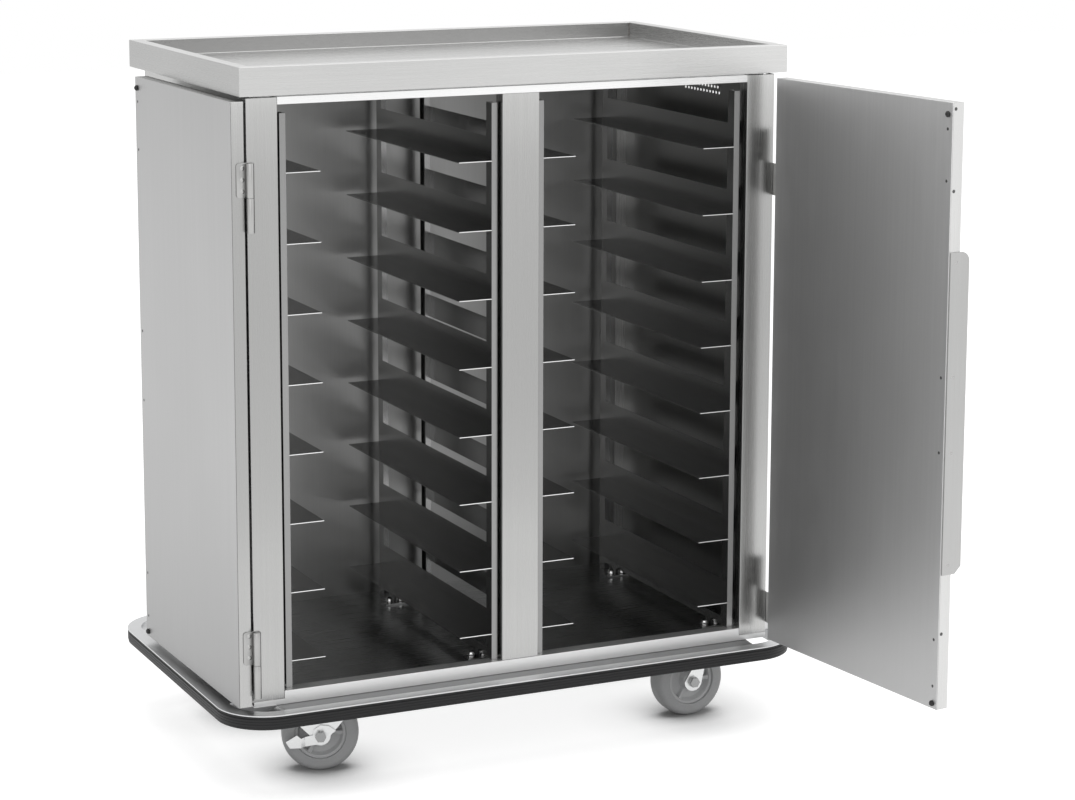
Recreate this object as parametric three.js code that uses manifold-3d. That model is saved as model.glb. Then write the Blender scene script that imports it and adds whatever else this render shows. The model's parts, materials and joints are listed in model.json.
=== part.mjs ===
// Enclosed meal tray cart: a two-compartment cabinet of folded sheet with tray slides, two doors on
// lift-off hinges, a wrap-round bumper and four casters. Millimetres, +Z up, the front faces -Y.
import * as THREE from 'three';
import { mergeVertices } from 'three/addons/utils/BufferGeometryUtils.js';
import Module from 'manifold-3d';

const wasm = await Module();
wasm.setup();

// ---- Driving dimensions -------------------------------------------------------------------------

// Fits and sheet
const GAP = 0.3; // between pieces that touch
const SHEET = 2; // cabinet sheet thickness

// Cabinet
const FRAME_WIDTH = 1108; // across the front frame
const CABINET_DEPTH = 620; // front frame's face to back panel's face
const FRAME_HEIGHT = 1155; // underside of the sill to the top of the header
const FRAME_DEPTH = 30; // depth of the folded frame members
const STILE_WIDTH = 61;
const SILL_LEDGE = 11; // height of the sill's ends, where the stiles stand
const MULLION_WIDTH = 77;
const HEADER_HEIGHT = 14;
const SILL_HEIGHT = 26;
const HEADER_SETBACK = 8; // the closing strip above the header lies this far behind its face
const PANEL_RECESS = 8; // side panels lie inside the frame's outer edges
const PANEL_FLANGE = 26; // width of the side panels' turned-in flanges
const FLOOR_PAN_DEPTH = 9;
const BOLSTER_WIDTH = 136; // pads under the floor pan that take the caster plates
const BOLSTER_LENGTH = 124;

// Vent at the top of each side panel
const VENT_ROWS = 4;
const VENT_COLUMNS = 12;
const VENT_PITCH = 13;
const VENT_HOLE_RADIUS = 3.4;
const VENT_HOLE_SIDES = 6;
const VENT_FRONT = 205; // first column behind the front face
const VENT_DROP = 57; // lowest row below the frame's top

// Top deck
const DECK_OVERHANG = 18; // past the frame, all round
const DECK_CLEARANCE = 4; // rim's lower edge above the frame
const DECK_HEIGHT = 54;
const DECK_RECESS = 31; // depth of the tray in the top
const RIM_WIDTH = 25;

// Tray racks
const SLIDE_PITCH = 133.35;
const TRAY_HEADROOM = 120; // least height between the highest ledge and the header
const FIRST_SLIDE = 70.05; // top face of the lowest ledge above the floor pan
const SLIDE_WIDTH = 68; // ledge
const SLIDE_HEIGHT = 45; // upstand
const SLIDE_SHEET = 1.5;
const SLIDE_FRONT = 14; // front ends behind the frame's face
const SLIDE_BACK = 30; // rear ends in front of the back panel's face
const RACK_FROM_STILE = 21; // tray faces of the outer racks inside the stiles' edges
const RACK_FROM_MULLION = 16.5; // tray faces of the inner racks beside the mullion
const UPRIGHT_WIDTH = 12;
const UPRIGHT_DEPTH = 25;
const UPRIGHT_DROP = 18; // uprights end below the header
const UPRIGHT_WALL = 2;
const RUNNER_HEIGHT = 18;
const FOOT_LENGTH = 50;
const FOOT_WIDTH = 26;
const FOOT_SHEET = 3;
const FOOT_INSET = 76; // from a rack's end to the middle of its foot
const FOOT_OFFSET = 3; // foot's middle from the tray face, towards the upright

// Bumper base
const BUMPER_REACH = 61.5; // outer face beyond the cabinet
const BUMPER_CORNER = 100; // outer corner radius
const CHANNEL_WIDTH = 28;
const CHANNEL_HEIGHT = 24;
const CHANNEL_LOWER_FLANGE = 14;
const STRIP_HEIGHT = 25.7;
const BUMPER_RIBS = 3;
const RIB_DEPTH = 1.5;
const GROOVE_HEIGHT = 2;
const CORNER_STEPS = 3; // half the number of facets in a corner
const BASE_PLATE_SHEET = 2;
const BASE_PLATE_LAP = 20; // reach under the cabinet
const BASE_PLATE_SLANT = 5; // its ends lean in by this much
const BASE_PLATE_SETBACK = 4; // its ends stop short of the bumper's curve

// Doors, measured when shut
const DOOR_LAP = 18.5; // free edge over the mullion
const DOOR_DEPTH = 26;
const DOOR_RISE = 13.6; // lower edge above the sill's underside
const DOOR_DROP = 2.5; // upper edge below the header's top
const DOOR_INSET = 3; // hinge edge inside the frame's edge
const DOOR_STANDOFF = 6; // inner face in front of the frame
const DOOR_SHEET = 1.5;
const DOOR_RETURN = 18; // width of the pan's turned-in flange
const DOOR_LEFT_OPEN = 269; // degrees from shut, as built
const DOOR_RIGHT_OPEN = 96.2;
const STOP_RADIUS = 5.5; // rubber door stops
const STOP_HEIGHT = 5.2;
const STOP_FROM_EDGE = 12.5;
const STOP_FROM_TOP = 21.5;
const STOP_FROM_LOW = 10.4;
const STOP_SIDES = 12;

// Door handle, a flat grip on the free edge
const HANDLE_SHEET = 3;
const HANDLE_WIDTH = 44;
const HANDLE_SETBACK = 2; // from the door's inner face
const HANDLE_LENGTH = 606;
const HANDLE_RAISE = 259.4; // lower end above the door's lower edge
const HANDLE_ROUND = 18; // rounded top corner
const HANDLE_CHAMFER = 14; // cut lower corner

// Lift-off hinges
const PIVOT_OUT = 7; // pin outside the frame's edge
const PIVOT_FORWARD = 40; // pin in front of the frame
const BARREL_RADIUS = 7.2;
const PIN_RADIUS = 3;
const PIN_CLEARANCE = 0.5;
const PIN_RISE = 46; // pin above the joint face
const KNUCKLE_HEIGHT = 64;
const LEAF_SHEET = 2;
const DOOR_LEAF_SETBACK = 10; // leaf edge from the door's inner face
const FRAME_LEAF_REACH = 26; // leaf along the frame's side
const HINGE_FROM_TOP = 175.5; // joint faces of the two hinges from the door's ends
const HINGE_FROM_LOW = 82.4;
const BARREL_SIDES = 12;
const PIN_SIDES = 8;

// Wheels
const WHEEL_RADIUS = 76.2;
const WHEEL_SIDES = 24;
const TYRE_WIDTH = 50;
const TYRE_INNER_RADIUS = 50;
const TREAD_FLAT = 18; // flat middle of the crown
const TYRE_SHOULDER_RADIUS = 63; // where the crown meets the side wall
const CROWN_STEPS = 3;
const CORE_WIDTH = 40;
const CORE_RIM = 6;
const CORE_WEB = 12;
const HUB_RADIUS = 19;
const HUB_WIDTH = 56;
const RIB_COUNT = 3;
const RIB_WIDTH = 10;
const RIB_SETBACK = 4; // ribs lie below the core's faces

// Axles and forks
const AXLE_RADIUS = 6;
const AXLE_CLEARANCE = 0.4;
const AXLE_SIDES = 10;
const NUT_RADIUS = 11;
const NUT_HEIGHT = 9;
const LEG_GAP = 0.5; // hub to leg
const LEG_SHEET = 4;
const LEG_END_RADIUS = 20;
const LEG_TOP_WIDTH = 84; // rigid leg where it meets its plate
const LEG_KNEE = 36; // height above the axle where a swivel leg is at its full breadth
const LEG_AHEAD = 50; // swivel leg ahead of the axle, from the knee up
const LEG_BEHIND = 56; // and behind it at the knee
const CROWN_BEHIND = 80; // crown behind the axle, round the ball race
const LEG_END_STEPS = 8;
const WHEEL_CLEARANCE = 6.252; // tread to the fork's crown
const FORK_CROWN = 5;
const RACE_HEIGHT = 9.4;
const RACE_RADIUS = 31;
const RACE_SIDES = 24;
const WELD_LAP = 1; // how far welded pieces run into each other
const CASTER_PLATE_SHEET = 4;
const CASTER_PLATE_LENGTH = 114;
const CASTER_PLATE_WIDTH = 102;
const SWIVEL_LEAD = 44; // wheel centre from the swivel axis
const SWIVEL_TURN = 19; // degrees that the swivel forks are turned, as built
const SWIVEL_FROM_SIDE = 132; // swivel axis from the frame's edge
const SWIVEL_FROM_END = 124; // swivel axis from the cabinet's front and back
const RIGID_FROM_SIDE = 123;
const RIGID_FROM_END = 110;

// Brake lever
const LEVER_SHEET = 3;
const LEVER_EYE_RADIUS = 16;
const LEVER_EAR = 30; // ahead of the axle
const LEVER_EAR_RISE = 10;
const LEVER_PEAK = 22; // above the axle
const LEVER_WAIST = 13; // where the arm leaves the eye
const ARM_LENGTH = 38;
const ARM_FALL = 2; // upper edge at the arm's end below the axle
const PEDAL_LENGTH = 30;
const PEDAL_LOW = 21; // pedal's lower edge below the axle
const PEDAL_TIP = 5; // pedal's upper tip above the axle
const PEDAL_SLANT = 8; // its ends lean by this much
const PEDAL_JOG = 7; // pedal stands out from the arm
const JOG_LENGTH = 8;

// ---- Derived places ------------------------------------------------------------------------------

const AXLE_HEIGHT = WHEEL_RADIUS * Math.cos(Math.PI / WHEEL_SIDES);
const FORK_TOP = AXLE_HEIGHT + WHEEL_RADIUS + WHEEL_CLEARANCE + FORK_CROWN;
const CASTER_PLATE_LOW = FORK_TOP + RACE_HEIGHT + GAP;
const CASTER_TOP = CASTER_PLATE_LOW + CASTER_PLATE_SHEET;
const BODY_LOW = CASTER_TOP + GAP;
const FRAME_TOP = BODY_LOW + FRAME_HEIGHT;
const HEADER_LOW = FRAME_TOP - HEADER_HEIGHT;
const SILL_TOP = BODY_LOW + SILL_HEIGHT;
const STILE_FOOT = BODY_LOW + SILL_LEDGE;
const FLOOR_TOP = BODY_LOW + FLOOR_PAN_DEPTH;
const FRAME_EDGE = FRAME_WIDTH / 2;
const SKIN_OUT = FRAME_EDGE - PANEL_RECESS;
const SKIN_IN = SKIN_OUT - SHEET;
const FLANGE_X = SKIN_OUT - PANEL_FLANGE;
const PANEL_FRONT = FRAME_DEPTH + GAP;
const BACK_PANEL_FRONT = CABINET_DEPTH - SHEET;
const PANEL_BACK = BACK_PANEL_FRONT - GAP;
const STILE_INNER = FRAME_EDGE - STILE_WIDTH;
const DECK_LOW = FRAME_TOP + DECK_CLEARANCE;
const DECK_HIGH = DECK_LOW + DECK_HEIGHT;
const DECK_FLOOR = DECK_HIGH - DECK_RECESS;
const DECK_UNDER = DECK_FLOOR - SHEET;
const PANEL_TOP = DECK_UNDER - GAP;
const CHANNEL_INNER = BUMPER_REACH - CHANNEL_WIDTH;
const RACK_OUTER_X = STILE_INNER - RACK_FROM_STILE;
const RACK_INNER_X = MULLION_WIDTH / 2 + RACK_FROM_MULLION;
const LOW_SLIDE = FLOOR_TOP + FIRST_SLIDE;
const SLIDE_COUNT = Math.floor((HEADER_LOW - TRAY_HEADROOM - LOW_SLIDE) / SLIDE_PITCH) + 1;
const SLIDE_LENGTH = CABINET_DEPTH - SLIDE_FRONT - SLIDE_BACK;
const UPRIGHT_TOP = HEADER_LOW - UPRIGHT_DROP;
const DOOR_WIDTH = FRAME_EDGE - DOOR_INSET - MULLION_WIDTH / 2 + DOOR_LAP;
const DOOR_LOW = BODY_LOW + DOOR_RISE;
const DOOR_HIGH = FRAME_TOP - DOOR_DROP;
const HANDLE_LOW = DOOR_LOW + HANDLE_RAISE;
const HANDLE_HIGH = HANDLE_LOW + HANDLE_LENGTH;
const HINGE_TOP_Z = DOOR_HIGH - HINGE_FROM_TOP;
const HINGE_LOW_Z = DOOR_LOW + HINGE_FROM_LOW;
const LEG_IN = HUB_WIDTH / 2 + LEG_GAP;
const LEG_OUT = LEG_IN + LEG_SHEET;
const CORE_RADIUS = TYRE_INNER_RADIUS - GAP;

// ---- Materials -----------------------------------------------------------------------------------

const finish = (color, roughness, metalness) => () => new THREE.MeshStandardMaterial({ color, roughness, metalness });
const brushedSteel = finish(0xc4c5c6, 0.34, 1);
const deckSteel = finish(0xb8babb, 0.3, 1);
const rackSteel = finish(0xa9abad, 0.4, 1);
const aluminium = finish(0xcfd1d2, 0.42, 1);
const greyPlate = finish(0x8d8f92, 0.5, 0.8);
const blackVinyl = finish(0x17181a, 0.55, 0);
const blackRubber = finish(0x121212, 0.7, 0);
const zincPlate = finish(0xb4b7b8, 0.36, 1);
const tyreGrey = finish(0x8f9193, 0.6, 0);
const coreGrey = finish(0x5c5f62, 0.55, 0);

// ---- Solids --------------------------------------------------------------------------------------

// A closed geometry becomes a solid that can be joined and cut.
function solid(geometry) {
  geometry.deleteAttribute('normal');
  geometry.deleteAttribute('uv');
  const merged = mergeVertices(geometry, 1e-4);
  const vertProperties = new Float32Array(merged.attributes.position.array);
  const triVerts = new Uint32Array(merged.index.array);
  return new wasm.Manifold(new wasm.Mesh({ numProp: 3, vertProperties, triVerts }));
}

function joined(pieces) {
  return pieces.reduce((whole, piece) => whole.add(piece));
}

function cutBy(body, cutters) {
  return cutters.reduce((whole, cutter) => whole.subtract(cutter), body);
}

function meshOf(name, body, material) {
  const { vertProperties, triVerts } = body.getMesh();
  const geometry = new THREE.BufferGeometry();
  geometry.setAttribute('position', new THREE.BufferAttribute(vertProperties, 3));
  geometry.setIndex(new THREE.BufferAttribute(triVerts, 1));
  geometry.computeVertexNormals();
  const mesh = new THREE.Mesh(geometry, material());
  mesh.name = name;
  return mesh;
}

// A box between two values on each axis, in either order.
function box([xa, xb], [ya, yb], [za, zb]) {
  const geometry = new THREE.BoxGeometry(Math.abs(xb - xa), Math.abs(yb - ya), Math.abs(zb - za));
  geometry.translate((xa + xb) / 2, (ya + yb) / 2, (za + zb) / 2);
  return solid(geometry);
}

function shapeOf(points) {
  return new THREE.Shape(points.map(([a, b]) => new THREE.Vector2(a, b)));
}

function prism(shape, depth, curveSegments) {
  return new THREE.ExtrudeGeometry(shape, { depth, curveSegments, bevelEnabled: false });
}

// An outline in X and Y, standing between two heights.
function prismZ(shape, low, high, curveSegments = 1) {
  return solid(prism(shape, high - low, curveSegments).translate(0, 0, low));
}

// An outline in Y and Z, running along X.
function prismX(shape, xa, xb, curveSegments = 1) {
  const low = Math.min(xa, xb);
  const turn = new THREE.Matrix4();
  turn.makeBasis(new THREE.Vector3(0, 1, 0), new THREE.Vector3(0, 0, 1), new THREE.Vector3(1, 0, 0));
  return solid(prism(shape, Math.abs(xb - xa), curveSegments).applyMatrix4(turn).translate(low, 0, 0));
}

// An outline in X and Z, running along Y.
function prismY(shape, ya, yb, curveSegments = 1) {
  const high = Math.max(ya, yb);
  const turn = new THREE.Matrix4();
  turn.makeBasis(new THREE.Vector3(1, 0, 0), new THREE.Vector3(0, 0, 1), new THREE.Vector3(0, -1, 0));
  return solid(prism(shape, Math.abs(yb - ya), curveSegments).applyMatrix4(turn).translate(0, high, 0));
}

function rodZ(x, y, low, high, radius, sides) {
  const geometry = new THREE.CylinderGeometry(radius, radius, high - low, sides);
  geometry.rotateX(Math.PI / 2);
  return solid(geometry.translate(x, y, (low + high) / 2));
}

function rodY(x, z, ya, yb, radius, sides) {
  const geometry = new THREE.CylinderGeometry(radius, radius, Math.abs(yb - ya), sides);
  geometry.rotateY(Math.PI / sides);
  return solid(geometry.translate(x, (ya + yb) / 2, z));
}

// A folded channel's outline: a web from a to b at the front, and two returns going back.
function channelShape(a, b, front, depth, sheet) {
  const back = front + depth;
  return shapeOf([
    [a, front], [b, front], [b, back], [b - sheet, back],
    [b - sheet, front + sheet], [a + sheet, front + sheet], [a + sheet, back], [a, back],
  ]);
}

// ---- Front frame ---------------------------------------------------------------------------------

function makeStile(side) {
  const outer = side * FRAME_EDGE;
  const inner = side * STILE_INNER;
  const outline = channelShape(Math.min(outer, inner), Math.max(outer, inner), 0, FRAME_DEPTH, SHEET);
  return prismZ(outline, STILE_FOOT, FRAME_TOP);
}

function makeMullion() {
  const half = MULLION_WIDTH / 2;
  return prismZ(channelShape(-half, half, 0, FRAME_DEPTH, SHEET), SILL_TOP + GAP, HEADER_LOW - GAP);
}

// The header is a channel between the stiles; a set-back strip above it closes the gap to the deck.
function makeHeader() {
  const half = STILE_INNER - GAP;
  const closingTop = DECK_UNDER - GAP;
  const channel = prismX(shapeOf([
    [0, HEADER_LOW], [FRAME_DEPTH, HEADER_LOW], [FRAME_DEPTH, HEADER_LOW + SHEET], [SHEET, HEADER_LOW + SHEET],
    [SHEET, FRAME_TOP - SHEET], [HEADER_SETBACK + SHEET, FRAME_TOP - SHEET],
    [HEADER_SETBACK + SHEET, closingTop], [HEADER_SETBACK, closingTop], [HEADER_SETBACK, FRAME_TOP], [0, FRAME_TOP],
  ]), -half, half);
  const strip = box(
    [-SKIN_IN + GAP, SKIN_IN - GAP],
    [HEADER_SETBACK, HEADER_SETBACK + SHEET],
    [FRAME_TOP + GAP, closingTop],
  );
  return joined([channel, strip]);
}

// The sill's low part runs the full width under the stiles; between them it steps up to its top.
function makeSill() {
  const half = STILE_INNER - GAP;
  const stepTop = STILE_FOOT - GAP;
  const lowPart = prismX(shapeOf([
    [0, BODY_LOW], [FRAME_DEPTH, BODY_LOW], [FRAME_DEPTH, BODY_LOW + SHEET], [SHEET, BODY_LOW + SHEET],
    [SHEET, stepTop - SHEET], [FRAME_DEPTH, stepTop - SHEET], [FRAME_DEPTH, stepTop], [0, stepTop],
  ]), -FRAME_EDGE, FRAME_EDGE);
  const step = prismX(shapeOf([
    [0, stepTop - SHEET], [SHEET, stepTop - SHEET], [SHEET, SILL_TOP - SHEET],
    [FRAME_DEPTH - SHEET, SILL_TOP - SHEET], [FRAME_DEPTH - SHEET, stepTop - SHEET],
    [FRAME_DEPTH, stepTop - SHEET], [FRAME_DEPTH, SILL_TOP], [0, SILL_TOP],
  ]), -half, half);
  return joined([lowPart, step]);
}

// ---- Panels --------------------------------------------------------------------------------------

function ventHoles(side) {
  const holes = [];
  for (let row = 0; row < VENT_ROWS; row += 1) {
    const stagger = (row % 2) * (VENT_PITCH / 2);
    const z = FRAME_TOP - VENT_DROP + row * VENT_PITCH * Math.sin(Math.PI / 3);
    for (let column = 0; column < VENT_COLUMNS; column += 1) {
      const y = VENT_FRONT + stagger + column * VENT_PITCH;
      const hole = new THREE.CylinderGeometry(VENT_HOLE_RADIUS, VENT_HOLE_RADIUS, 4 * SHEET, VENT_HOLE_SIDES);
      hole.rotateZ(Math.PI / 2);
      holes.push(solid(hole.translate(side * (SKIN_OUT + SKIN_IN) / 2, y, z)));
    }
  }
  return holes;
}

// A skin with flanges turned in at the front, back and top, and the vent through it.
function makeSidePanel(side) {
  const plan = shapeOf([
    [side * FLANGE_X, PANEL_FRONT], [side * SKIN_OUT, PANEL_FRONT], [side * SKIN_OUT, PANEL_BACK],
    [side * FLANGE_X, PANEL_BACK], [side * FLANGE_X, PANEL_BACK - SHEET], [side * SKIN_IN, PANEL_BACK - SHEET],
    [side * SKIN_IN, PANEL_FRONT + SHEET], [side * FLANGE_X, PANEL_FRONT + SHEET],
  ]);
  const walls = prismZ(plan, BODY_LOW, PANEL_TOP);
  const topFlange = box(
    [side * FLANGE_X, side * SKIN_OUT],
    [PANEL_FRONT, PANEL_BACK],
    [PANEL_TOP - SHEET, PANEL_TOP],
  );
  return cutBy(joined([walls, topFlange]), ventHoles(side));
}

function makeBackPanel() {
  return box([-SKIN_OUT, SKIN_OUT], [BACK_PANEL_FRONT, CABINET_DEPTH], [BODY_LOW, PANEL_TOP]);
}

// A sheet with its edges turned down, notched round the side panels' flanges, on four caster pads.
function makeFloorPan() {
  const edge = SKIN_IN - GAP;
  const neck = FLANGE_X - GAP;
  const front = FRAME_DEPTH + GAP;
  const back = PANEL_BACK;
  const notchFront = PANEL_FRONT + SHEET + GAP;
  const notchBack = PANEL_BACK - SHEET - GAP;
  const sheetLow = FLOOR_TOP - SHEET;
  const plan = shapeOf([
    [-neck, front], [neck, front], [neck, notchFront], [edge, notchFront], [edge, notchBack], [neck, notchBack],
    [neck, back], [-neck, back], [-neck, notchBack], [-edge, notchBack], [-edge, notchFront], [-neck, notchFront],
  ]);
  const pieces = [prismZ(plan, sheetLow, FLOOR_TOP)];
  for (const y of [front, back - SHEET]) {
    pieces.push(box([-neck, neck], [y, y + SHEET], [BODY_LOW, FLOOR_TOP]));
  }
  for (const side of [-1, 1]) {
    pieces.push(box([side * (edge - SHEET), side * edge], [notchFront, notchBack], [BODY_LOW, FLOOR_TOP]));
  }
  for (const { x, y } of casterPlaces()) {
    pieces.push(box(
      [x - BOLSTER_LENGTH / 2, x + BOLSTER_LENGTH / 2],
      [y - BOLSTER_WIDTH / 2, y + BOLSTER_WIDTH / 2],
      [BODY_LOW, FLOOR_TOP],
    ));
  }
  return joined(pieces);
}

// The deck is a lid: a folded rim round a recessed tray, open underneath.
function makeTopDeck() {
  const half = FRAME_EDGE + DECK_OVERHANG;
  const front = -DECK_OVERHANG;
  const back = CABINET_DEPTH + DECK_OVERHANG;
  const inset = (by, low, high) => box([-half + by, half - by], [front + by, back - by], [low, high]);
  const block = inset(0, DECK_LOW, DECK_HIGH);
  const tray = inset(RIM_WIDTH, DECK_FLOOR, DECK_HIGH + SHEET);
  const underRim = inset(SHEET, DECK_LOW - SHEET, DECK_HIGH - SHEET);
  const trayBody = inset(RIM_WIDTH - SHEET, DECK_UNDER, DECK_HIGH);
  return cutBy(block, [underRim.subtract(trayBody), tray]);
}

// ---- Tray racks ----------------------------------------------------------------------------------

// An angle slide: the upstand lies on the tray face, the ledge reaches towards the tray.
function makeSlide(face, tray, top) {
  const outline = shapeOf([
    [face + tray * SLIDE_WIDTH, top - SLIDE_SHEET], [face + tray * SLIDE_WIDTH, top], [face, top],
    [face, top + SLIDE_HEIGHT], [face - tray * SLIDE_SHEET, top + SLIDE_HEIGHT],
    [face - tray * SLIDE_SHEET, top - SLIDE_SHEET],
  ]);
  return prismY(outline, SLIDE_FRONT, SLIDE_FRONT + SLIDE_LENGTH);
}

// A channel upright whose web lies behind the tray face, standing at a given depth and height.
function makeUpright(face, tray, y, low) {
  const away = face - tray * UPRIGHT_WIDTH;
  const web = face - tray * UPRIGHT_WALL;
  const outline = shapeOf([
    [face, y], [away, y], [away, y + UPRIGHT_WALL], [web, y + UPRIGHT_WALL],
    [web, y + UPRIGHT_DEPTH - UPRIGHT_WALL], [away, y + UPRIGHT_DEPTH - UPRIGHT_WALL],
    [away, y + UPRIGHT_DEPTH], [face, y + UPRIGHT_DEPTH],
  ]);
  return prismZ(outline, low, UPRIGHT_TOP);
}

// A flat foot on the floor and the strap that joins it to the runner.
function makeFoot(face, tray, y, low, strapTop) {
  const middle = face - tray * FOOT_OFFSET;
  const depth = [y - FOOT_WIDTH / 2, y + FOOT_WIDTH / 2];
  return joined([
    box([middle - FOOT_LENGTH / 2, middle + FOOT_LENGTH / 2], depth, [low, low + FOOT_SHEET]),
    box([face, face - tray * UPRIGHT_WALL], depth, [low, strapTop]),
  ]);
}

// The front upright stands on the sill and the back one on the floor; a runner joins them low down.
function makeRack(face, tray) {
  const front = SLIDE_FRONT;
  const back = SLIDE_FRONT + SLIDE_LENGTH;
  const low = FLOOR_TOP + GAP;
  const runnerLow = SILL_TOP + GAP;
  const runnerTop = runnerLow + RUNNER_HEIGHT;
  const pieces = [
    makeUpright(face, tray, front, runnerLow),
    makeUpright(face, tray, back - UPRIGHT_DEPTH, low),
    box([face, face - tray * UPRIGHT_WALL], [front, back], [runnerLow, runnerTop]),
    makeFoot(face, tray, front + FOOT_INSET, low, runnerTop),
    makeFoot(face, tray, back - FOOT_INSET, low, runnerTop),
  ];
  for (let index = 0; index < SLIDE_COUNT; index += 1) {
    pieces.push(makeSlide(face, tray, LOW_SLIDE + index * SLIDE_PITCH));
  }
  return joined(pieces);
}

// ---- Bumper base ---------------------------------------------------------------------------------

// A round-cornered rectangle that lies a given reach outside the cabinet.
function wrapPath(path, reach) {
  const radius = BUMPER_CORNER - (BUMPER_REACH - reach);
  const right = FRAME_EDGE + reach - radius;
  const front = -reach + radius;
  const back = CABINET_DEPTH + reach - radius;
  const quarter = Math.PI / 2;
  path.absarc(right, back, radius, 0, quarter, false);
  path.absarc(-right, back, radius, quarter, 2 * quarter, false);
  path.absarc(-right, front, radius, 2 * quarter, 3 * quarter, false);
  path.absarc(right, front, radius, 3 * quarter, 4 * quarter, false);
  path.closePath();
  return path;
}

function wrapRing(inner, outer, low, high) {
  const shape = wrapPath(new THREE.Shape(), outer);
  shape.holes.push(wrapPath(new THREE.Path(), inner));
  return prismZ(shape, low, high, CORNER_STEPS);
}

// A channel that opens outwards, bent round the cabinet.
function makeBumperChannel() {
  const low = BODY_LOW - CHANNEL_HEIGHT;
  return joined([
    wrapRing(CHANNEL_INNER, CHANNEL_INNER + SHEET, low, BODY_LOW),
    wrapRing(CHANNEL_INNER, BUMPER_REACH, BODY_LOW - SHEET, BODY_LOW),
    wrapRing(CHANNEL_INNER, CHANNEL_INNER + CHANNEL_LOWER_FLANGE, low, low + SHEET),
  ]);
}

// The strip fills the channel, hangs below it and has grooves between its ribs.
function makeBumperStrip() {
  const top = BODY_LOW - SHEET - GAP;
  const seat = CHANNEL_INNER + CHANNEL_LOWER_FLANGE + GAP;
  const root = CHANNEL_INNER + SHEET + GAP;
  const tongueLow = BODY_LOW - CHANNEL_HEIGHT + SHEET + GAP;
  const face = BUMPER_REACH - RIB_DEPTH;
  const stripLow = top - STRIP_HEIGHT;
  const ribHeight = (STRIP_HEIGHT - (BUMPER_RIBS - 1) * GROOVE_HEIGHT) / BUMPER_RIBS;
  const pieces = [wrapRing(seat, face, stripLow, top), wrapRing(root, face, tongueLow, top)];
  for (let rib = 0; rib < BUMPER_RIBS; rib += 1) {
    const low = stripLow + rib * (ribHeight + GROOVE_HEIGHT);
    pieces.push(wrapRing(seat, BUMPER_REACH, low, low + ribHeight));
  }
  return joined(pieces);
}

// Plates that bridge the cabinet and the bumper, one for each side, with slanted ends.
function makeBasePlate(half, middle, edge, outward, alongX) {
  const near = edge - outward * BASE_PLATE_LAP;
  const far = edge + outward * (CHANNEL_INNER - GAP);
  const corners = [[-half, near], [half, near], [half - BASE_PLATE_SLANT, far], [-half + BASE_PLATE_SLANT, far]];
  const points = corners.map(([along, across]) => (alongX ? [middle + along, across] : [across, middle + along]));
  return prismZ(shapeOf(points), BODY_LOW - GAP - BASE_PLATE_SHEET, BODY_LOW - GAP);
}

function basePlates() {
  const curveStart = BUMPER_CORNER - BUMPER_REACH + BASE_PLATE_SETBACK;
  const halfX = FRAME_EDGE - curveStart;
  const halfY = CABINET_DEPTH / 2 - curveStart;
  const middleY = CABINET_DEPTH / 2;
  return [
    meshOf('base_plate_front', makeBasePlate(halfX, 0, 0, -1, true), greyPlate),
    meshOf('base_plate_back', makeBasePlate(halfX, 0, CABINET_DEPTH, 1, true), greyPlate),
    meshOf('base_plate_left', makeBasePlate(halfY, middleY, -FRAME_EDGE, -1, false), greyPlate),
    meshOf('base_plate_right', makeBasePlate(halfY, middleY, FRAME_EDGE, 1, false), greyPlate),
  ];
}

// ---- Doors ---------------------------------------------------------------------------------------

// A door is drawn shut, from its hinge pin at the origin; across is +1 where it reaches towards +X.
const HINGE_EDGE = PIVOT_OUT + DOOR_INSET;
const FREE_EDGE = HINGE_EDGE + DOOR_WIDTH;
const INNER_FACE = PIVOT_FORWARD - DOOR_STANDOFF;
const OUTER_FACE = INNER_FACE - DOOR_DEPTH;

// A deep pan with its four edges turned back and a flange turned in behind them.
function makeDoorPan(across) {
  const back = INNER_FACE - DOOR_SHEET - GAP;
  const ring = (by, ya, yb) => box(
    [across * (HINGE_EDGE + by), across * (FREE_EDGE - by)],
    [ya, yb],
    [DOOR_LOW + by, DOOR_HIGH - by],
  );
  const hollow = ring(DOOR_SHEET, OUTER_FACE + DOOR_SHEET, back - DOOR_SHEET);
  const window = ring(DOOR_RETURN, OUTER_FACE + DOOR_SHEET, back + DOOR_SHEET);
  return cutBy(ring(0, OUTER_FACE, back), [hollow, window]);
}

function makeDoorPanel(across) {
  return box(
    [across * HINGE_EDGE, across * FREE_EDGE],
    [INNER_FACE - DOOR_SHEET, INNER_FACE],
    [DOOR_LOW, DOOR_HIGH],
  );
}

// A flat grip with a round upper corner and a cut lower one, on the door's free edge.
function makeHandle(across) {
  const back = INNER_FACE - HANDLE_SETBACK;
  const front = back - HANDLE_WIDTH;
  const shape = new THREE.Shape();
  shape.moveTo(back, HANDLE_LOW);
  shape.lineTo(back, HANDLE_HIGH);
  shape.lineTo(front + HANDLE_ROUND, HANDLE_HIGH);
  shape.absarc(front + HANDLE_ROUND, HANDLE_HIGH - HANDLE_ROUND, HANDLE_ROUND, Math.PI / 2, Math.PI, false);
  shape.lineTo(front, HANDLE_LOW + HANDLE_CHAMFER);
  shape.lineTo(front + HANDLE_CHAMFER, HANDLE_LOW);
  shape.closePath();
  const near = FREE_EDGE + GAP;
  return prismX(shape, across * near, across * (near + HANDLE_SHEET), CORNER_STEPS);
}

// A domed rubber stop on the door's inner face.
function makeStop(across, z) {
  const profile = [
    [0, 0], [STOP_RADIUS, 0], [STOP_RADIUS, STOP_HEIGHT / 2], [STOP_RADIUS / 2, STOP_HEIGHT], [0, STOP_HEIGHT],
  ];
  const points = profile.map(([radius, height]) => new THREE.Vector2(radius, height));
  const geometry = new THREE.LatheGeometry(points, STOP_SIDES);
  return solid(geometry.translate(across * (FREE_EDGE - STOP_FROM_EDGE), INNER_FACE + GAP, z));
}

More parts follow.
